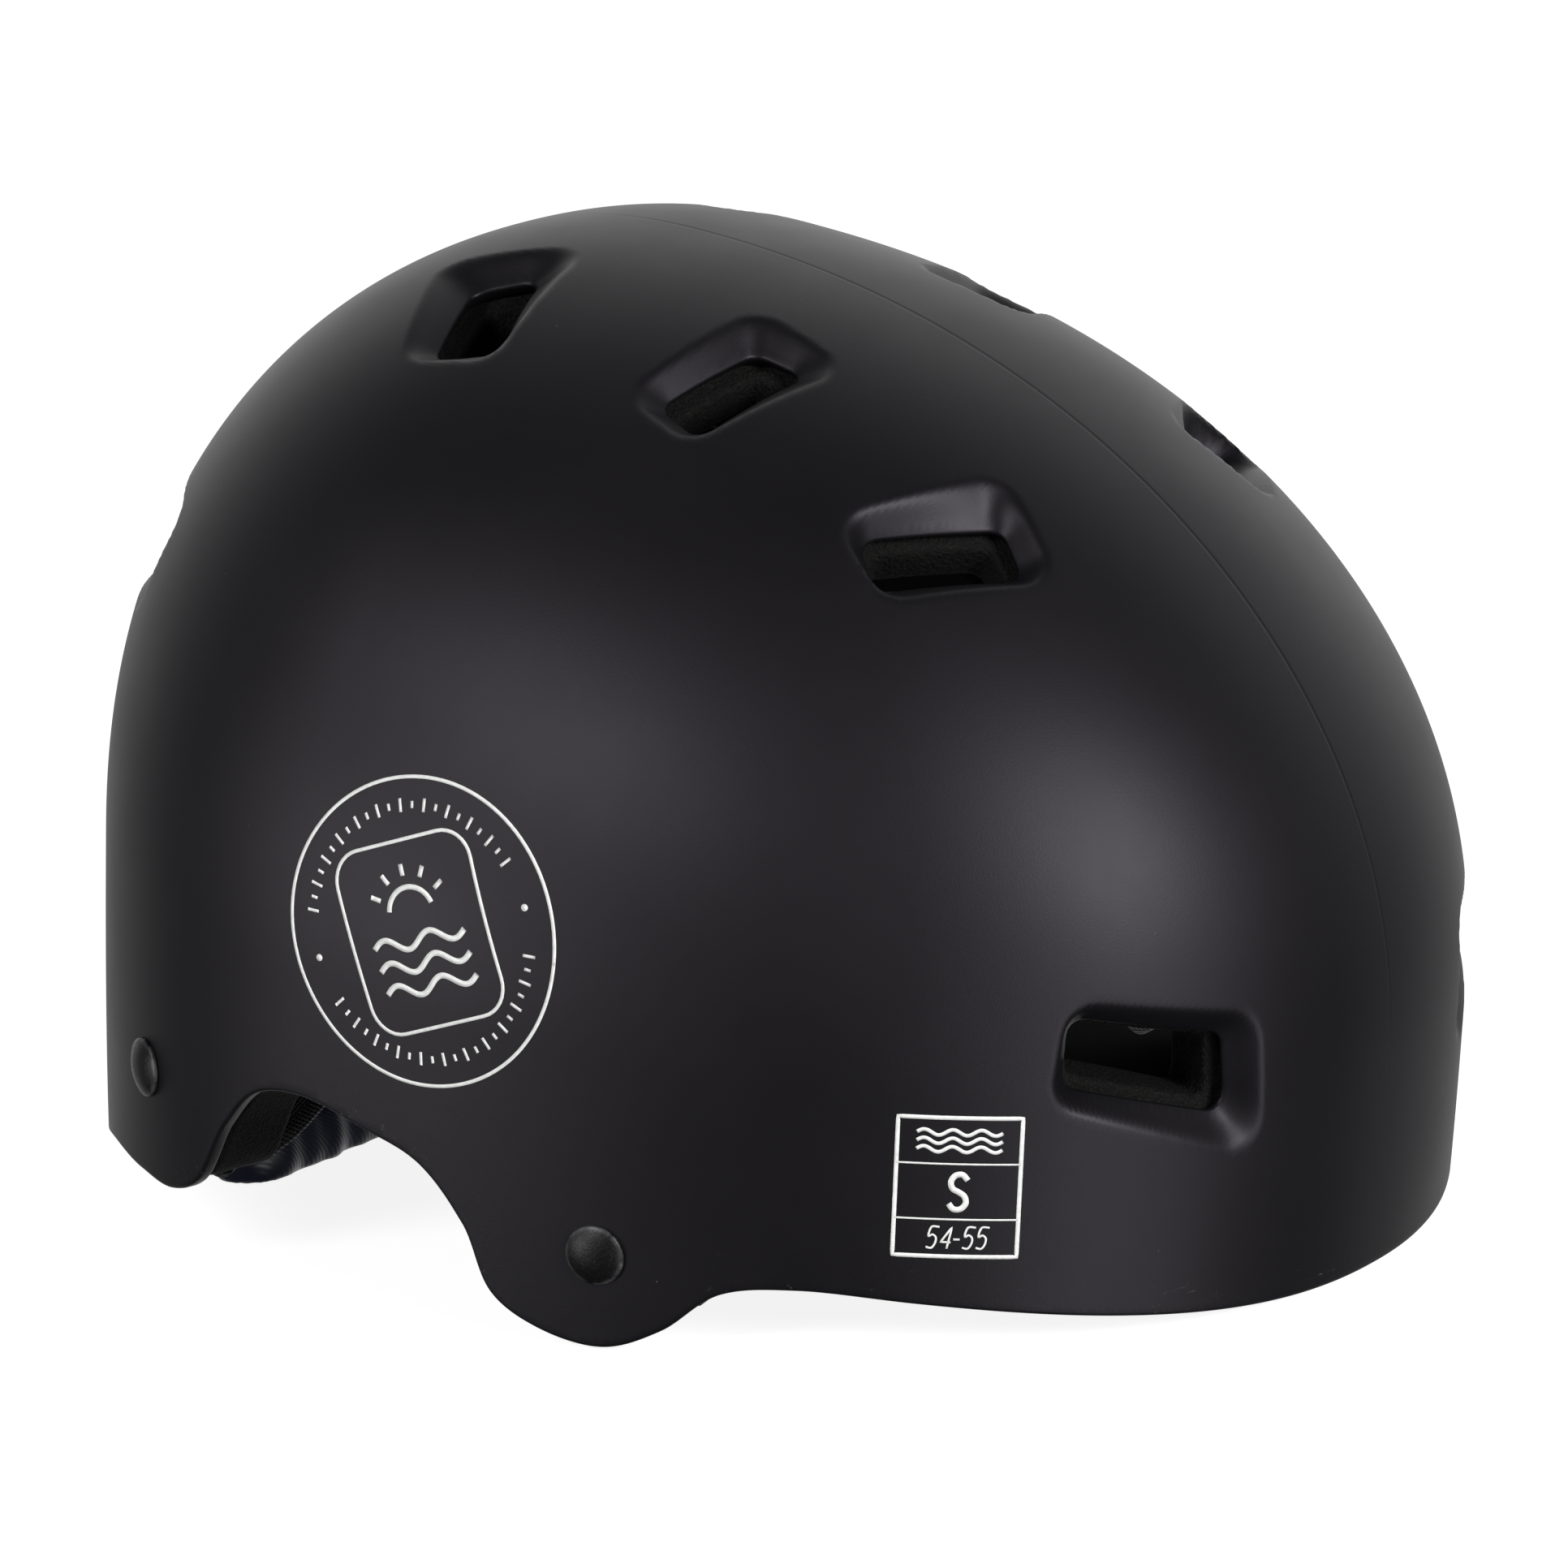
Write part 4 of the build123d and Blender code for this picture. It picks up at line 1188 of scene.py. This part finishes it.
def rivet_material():
    """Black stoved paint with fine speckles, and a bright ring round the edge that is rubbed paint and also a
    painted highlight.
    """
    g = Graph("rivet_paint", IOR=1.5, Specular_IOR_Level=0.28)
    speckle = g.noise(1900, 3, 0.75)
    spots = g.ramp(speckle, 0.56, 0.72)
    # Painted highlight as well as rubbed paint: the bright, partly metallic ring round the rim.
    rubbed_rim_and_highlight = g.math("MULTIPLY", g.attribute("edge"), g.ramp(g.noise(500, 3), 0.35, 0.62), clamp=True)
    color = g.mix(g.math("MULTIPLY", spots, 0.5), (0.003, 0.0028, 0.0034, 1), (0.016, 0.0155, 0.017, 1))
    color = g.mix(g.math("MULTIPLY", rubbed_rim_and_highlight, 0.55), color, (0.17, 0.165, 0.17, 1))
    g.link(g.math("MULTIPLY", rubbed_rim_and_highlight, 0.6), g.bsdf.inputs["Metallic"])
    return g.finish(color, g.ramp(speckle, 0.3, 0.7, 0.34, 0.46), g.bump(speckle, 0.00012, 0.6))


def steel_material():
    """Blackened stainless steel with turning marks."""
    g = Graph("washer_steel", Metallic=1.0)
    marks = g.noise(2200, 3, 0.6)
    color = g.mix(g.noise(240, 3), (0.20, 0.20, 0.205, 1), (0.42, 0.42, 0.43, 1))
    return g.finish(color, g.ramp(marks, 0.3, 0.7, 0.28, 0.44), g.bump(marks, 0.00005, 0.5))


def hook_material():
    """Hook-and-loop tape: tufts of loops in rows."""
    g = Graph("hook_loop", Sheen_Weight=0.6, IOR=1.45, Specular_IOR_Level=0.2)
    loops = g.cells(1300, "SMOOTH_F1")
    color = g.mix(g.ramp(loops, 0.1, 0.6), (0.06, 0.06, 0.064, 1), (0.014, 0.014, 0.016, 1))
    return g.finish(color, 0.9, g.bump(loops, 0.0008, 1.0))


def thread_material():
    """Twisted polyester thread."""
    g = Graph("thread", Sheen_Weight=0.2, IOR=1.5, Specular_IOR_Level=0.4)
    twist = g.noise(4200, 2)
    color = g.mix(twist, (0.035, 0.035, 0.038, 1), (0.075, 0.075, 0.08, 1))
    return g.finish(color, 0.6, g.bump(twist, 0.0001, 0.6))


def print_material():
    """White pad-printed ink, a little uneven, with the shell's grain showing through."""
    g = Graph("print_white", IOR=1.5, Specular_IOR_Level=0.4)
    patchy = g.noise(900, 3, 0.7)
    color = g.mix(g.ramp(patchy, 0.3, 0.75), (0.80, 0.81, 0.79, 1), (0.62, 0.63, 0.61, 1))
    return g.finish(color, 0.5, g.bump(g.noise(2600, 2), 0.00002, 0.4))


MATERIALS = {
    "shell_abs": shell_material(), "foam_eva": foam_material(), "pad_mesh": mesh_material(),
    "pad_satin": satin_material(), "webbing": webbing_material(),
    "buckle_plastic": moulded_material("buckle_plastic", (0.006, 0.006, 0.0065), 0.38),
    "rubber_loop": moulded_material("rubber_loop", (0.006, 0.006, 0.006), 0.66, 0.8, 1200, 0.2),
    "hook_loop": hook_material(), "rivet_paint": rivet_material(), "washer_steel": steel_material(),
    "print_white": print_material(), "thread": thread_material(),
}


def place(obj, slot_name, body, replaced=(), paint=None):
    """Give a piece its material, chosen by its slot name unless paint is given, and its body, and hide the
    CAD nodes that it stands for.
    """
    obj.data.materials.clear()
    obj.data.materials.append(MATERIALS[paint or slot_name])
    if body:
        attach(obj, body)
    if replaced:
        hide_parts(*replaced)
    return obj


# ---------------------------------------------------------------- the pieces
place(build_shell(), "shell_abs", "helmet", ["outer_shell"])
place(build_foam(), "foam_eva", "helmet", ["foam_liner"])
for side, word in ((-1, "right"), (1, "left")):
    place(build_badge(side), "print_white", "helmet", [f"badge_{word}"])
    for name in RIVETS:
        place(build_rivet(name, side), "rivet_paint", "helmet", [f"rivet_{name}_{word}"])
        leg, start, end = build_leg(name, side)
        place(leg, "webbing", None, [f"strap_tab_{name}_{word}", f"strap_{name}_{word}"])
        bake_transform(leg)
    chin = band(f"chin_webbing_{word}", chin_path(37.0), CHIN_AXES[0], side)
    place(chin, "webbing", f"chin_{word}", [f"chin_strap_{word}"])
    for row, v in enumerate((29.5, 34.5)):
        line = CHIN_ORIGIN + v * CHIN_AXES[1] + np.linspace(-8.6, 8.6, 9)[:, None] * CHIN_AXES[0]
        for face, h in (("in", 1), ("out", -1)):
            up = CHIN_AXES[2] * h
            laid = line + up * (WEB_T / 2 + 0.05)
            stitches = stitch_row(f"chin_stitch_{word}_{row}_{face}", laid, up, side)
            place(stitches, "webbing", f"chin_{word}", paint="thread")
place(build_label(), "print_white", "helmet", ["size_label"])

pads = [(build_brow_pad(), "pad_mesh", "brow_pad", "helmet", 0.7),
        (build_crown_pad(), "pad_mesh", "crown_pad", "helmet", 0.7),
        (build_side_pad("right"), "pad_mesh", "side_pad_right", "helmet", 0.7),
        (build_side_pad("left"), "pad_mesh", "side_pad_left", "helmet", 0.7),
        (build_nape_pad(), "pad_satin", "nape_pad", "helmet", 0.75),
        (build_chin_pad(), "pad_satin", "chin_pad", "chin_right", 0.6)]
for pad, slot_name, node, body, fill in pads:
    place(pad, slot_name, body, [node])

# CAD nodes that keep their own shape
carried = {"pad_fasteners": "hook_loop", "buckle_socket": "buckle_plastic", "buckle_plug": "buckle_plastic",
           "buckle_prong_front": "buckle_plastic", "buckle_prong_rear": "buckle_plastic",
           "strap_adjuster": "buckle_plastic", "strap_keeper": "rubber_loop",
           "strap_divider_right": "buckle_plastic", "strap_divider_left": "buckle_plastic"}
for name in RIVETS:
    for word in ("right", "left"):
        carried[f"washer_{name}_{word}"] = "washer_steel"
for node, slot_name in carried.items():
    obj = bpy.data.objects[node]
    obj.data.materials.clear()
    obj.data.materials.append(MATERIALS[slot_name])


# ---------------------------------------------------------------- floor, lights and camera
VIEW_AZIMUTH = -53.53
VIEW_ELEVATION = 14.62
VIEW_ROLL = -2.64
VIEW_DISTANCE = 1.2226
VIEW_TARGET = (0.0, 0.0, 0.0725)
LENS = 154.34
FLOOR_GLOW = 0.88
PAINTED_SHADOW_SPOT = (0.082, -0.021)     # middle of the painted shadow on the floor, the dark patch behind the brow vent
PAINTED_SHADOW_SPOT_R = (0.036, 0.048)
WORLD_BRIGHT = (0.78, 0.46, 0.10)
WORLD_SPAN = (0.15, 0.97, 0.03, 1.35)
WORLD_LEVELS = ((0.0, 1.4), (0.40, 0.62), (0.62, 1.1), (0.95, 0.6))    # from straight down to straight up


def make_camera():
    az, el = math.radians(VIEW_AZIMUTH), math.radians(VIEW_ELEVATION)
    back = Vector((math.sin(az) * math.cos(el), -math.cos(az) * math.cos(el), math.sin(el)))
    data = bpy.data.cameras.new("camera")
    data.lens = LENS
    data.sensor_width = 36
    cam = bpy.data.objects.new("camera", data)
    turn = back.to_track_quat("Z", "Y").to_matrix().to_4x4()
    cam.matrix_world = (Matrix.Translation(Vector(VIEW_TARGET) + back * VIEW_DISTANCE) @ turn
                        @ Matrix.Rotation(math.radians(VIEW_ROLL), 4, "Z"))
    bpy.context.scene.collection.objects.link(cam)
    bpy.context.scene.camera = cam


def make_floor():
    """A wide pale floor, with a painted shadow: a dark patch that is seen through the brow vent."""
    a = np.linspace(0, 2 * math.pi, 65)[:-1]
    points = np.stack([6 * np.cos(a), 6 * np.sin(a), np.full(64, -0.0003)], -1)
    floor = make_mesh("floor", points, [list(range(64))], smooth=False)
    g = Graph("floor", Specular_IOR_Level=0.0, Emission_Color=(1, 1, 1, 1))
    oval = g.add("ShaderNodeMapping")
    g.link(g.place, oval.inputs["Vector"])
    (x, y), (across, along) = PAINTED_SHADOW_SPOT, PAINTED_SHADOW_SPOT_R
    oval.inputs["Location"].default_value = (-x / across, -y / along, 0)
    oval.inputs["Scale"].default_value = (1 / across, 1 / along, 1)
    reach = g.add("ShaderNodeVectorMath", operation="LENGTH")
    g.link(oval.outputs[0], reach.inputs[0])
    # Painted shadow: inside the oval the floor's glow and colour fall to dark.
    outside_painted_shadow = g.ramp(reach.outputs["Value"], 0.86, 1.10)
    g.link(g.math("MULTIPLY", outside_painted_shadow, FLOOR_GLOW), g.bsdf.inputs["Emission Strength"])
    color = g.mix(outside_painted_shadow, (0.02, 0.02, 0.02, 1), (0.42, 0.42, 0.42, 1))
    floor.data.materials.append(g.finish(color, 0.9))
    floor.visible_glossy = floor.visible_diffuse = floor.visible_shadow = False


def soft_light(name, direction, distance, size, power, target=(0, 0, 0.09)):
    """A round soft light that points at the helmet."""
    data = bpy.data.lights.new(name, "AREA")
    data.shape, data.size, data.energy = "DISK", size, power
    light = bpy.data.objects.new(name, data)
    toward = Vector(direction).normalized()
    light.location = Vector(target) + toward * distance
    light.rotation_euler = toward.to_track_quat("Z", "Y").to_euler()
    bpy.context.scene.collection.objects.link(light)


def make_world():
    """A white studio that is bright behind the helmet and dim on the near side, changing with height."""
    world = bpy.data.worlds.new("world")
    bpy.context.scene.world = world
    world.use_nodes = True
    nodes, links = world.node_tree.nodes, world.node_tree.links
    background = nodes["Background"]
    background.inputs["Color"].default_value = (1, 1, 1, 1)
    coords = nodes.new("ShaderNodeTexCoord")
    dot = nodes.new("ShaderNodeVectorMath")
    dot.operation = "DOT_PRODUCT"
    links.new(coords.outputs["Generated"], dot.inputs[0])
    dot.inputs[1].default_value = Vector(WORLD_BRIGHT).normalized()
    span = nodes.new("ShaderNodeMapRange")
    span.interpolation_type = "SMOOTHSTEP"
    links.new(dot.outputs["Value"], span.inputs["Value"])
    for key, value in zip(("From Min", "From Max", "To Min", "To Max"), WORLD_SPAN):
        span.inputs[key].default_value = value
    height = nodes.new("ShaderNodeSeparateXYZ")
    links.new(coords.outputs["Generated"], height.inputs[0])
    rise = nodes.new("ShaderNodeValToRGB")
    rise.color_ramp.interpolation = "EASE"
    stops = rise.color_ramp.elements
    stops[0].position, stops[1].position = WORLD_LEVELS[0][0], WORLD_LEVELS[1][0]
    for spot, level in WORLD_LEVELS[2:]:
        stops.new(spot)
    for stop, (spot, level) in zip(stops, WORLD_LEVELS):
        stop.color = (level, level, level, 1)
    half = nodes.new("ShaderNodeMath")
    half.operation = "MULTIPLY_ADD"
    half.inputs[1].default_value = half.inputs[2].default_value = 0.5
    links.new(height.outputs["Z"], half.inputs[0])
    links.new(half.outputs[0], rise.inputs[0])
    light = nodes.new("ShaderNodeMath")
    light.operation = "MULTIPLY"
    links.new(span.outputs[0], light.inputs[0])
    links.new(rise.outputs[0], light.inputs[1])
    sight = nodes.new("ShaderNodeLightPath")
    seen = nodes.new("ShaderNodeMix")
    links.new(sight.outputs["Is Camera Ray"], seen.inputs[0])
    links.new(light.outputs[0], seen.inputs[2])
    seen.inputs[3].default_value = 1.0
    links.new(seen.outputs[0], background.inputs["Strength"])


make_camera()
make_floor()
make_world()
soft_light("side_box", (-0.87, 0.14, 0.44), 1.3, 0.44, 7.4)
soft_light("front_box", (-0.22, -0.89, 0.34), 1.3, 0.46, 15.0)
soft_light("low_box", (-0.86, 0.45, -0.10), 1.4, 0.6, 6.0)
soft_light("bounce", (-0.34, -0.86, -0.34), 1.4, 1.0, 8.0)
bpy.context.scene.view_settings.view_transform = "Standard"
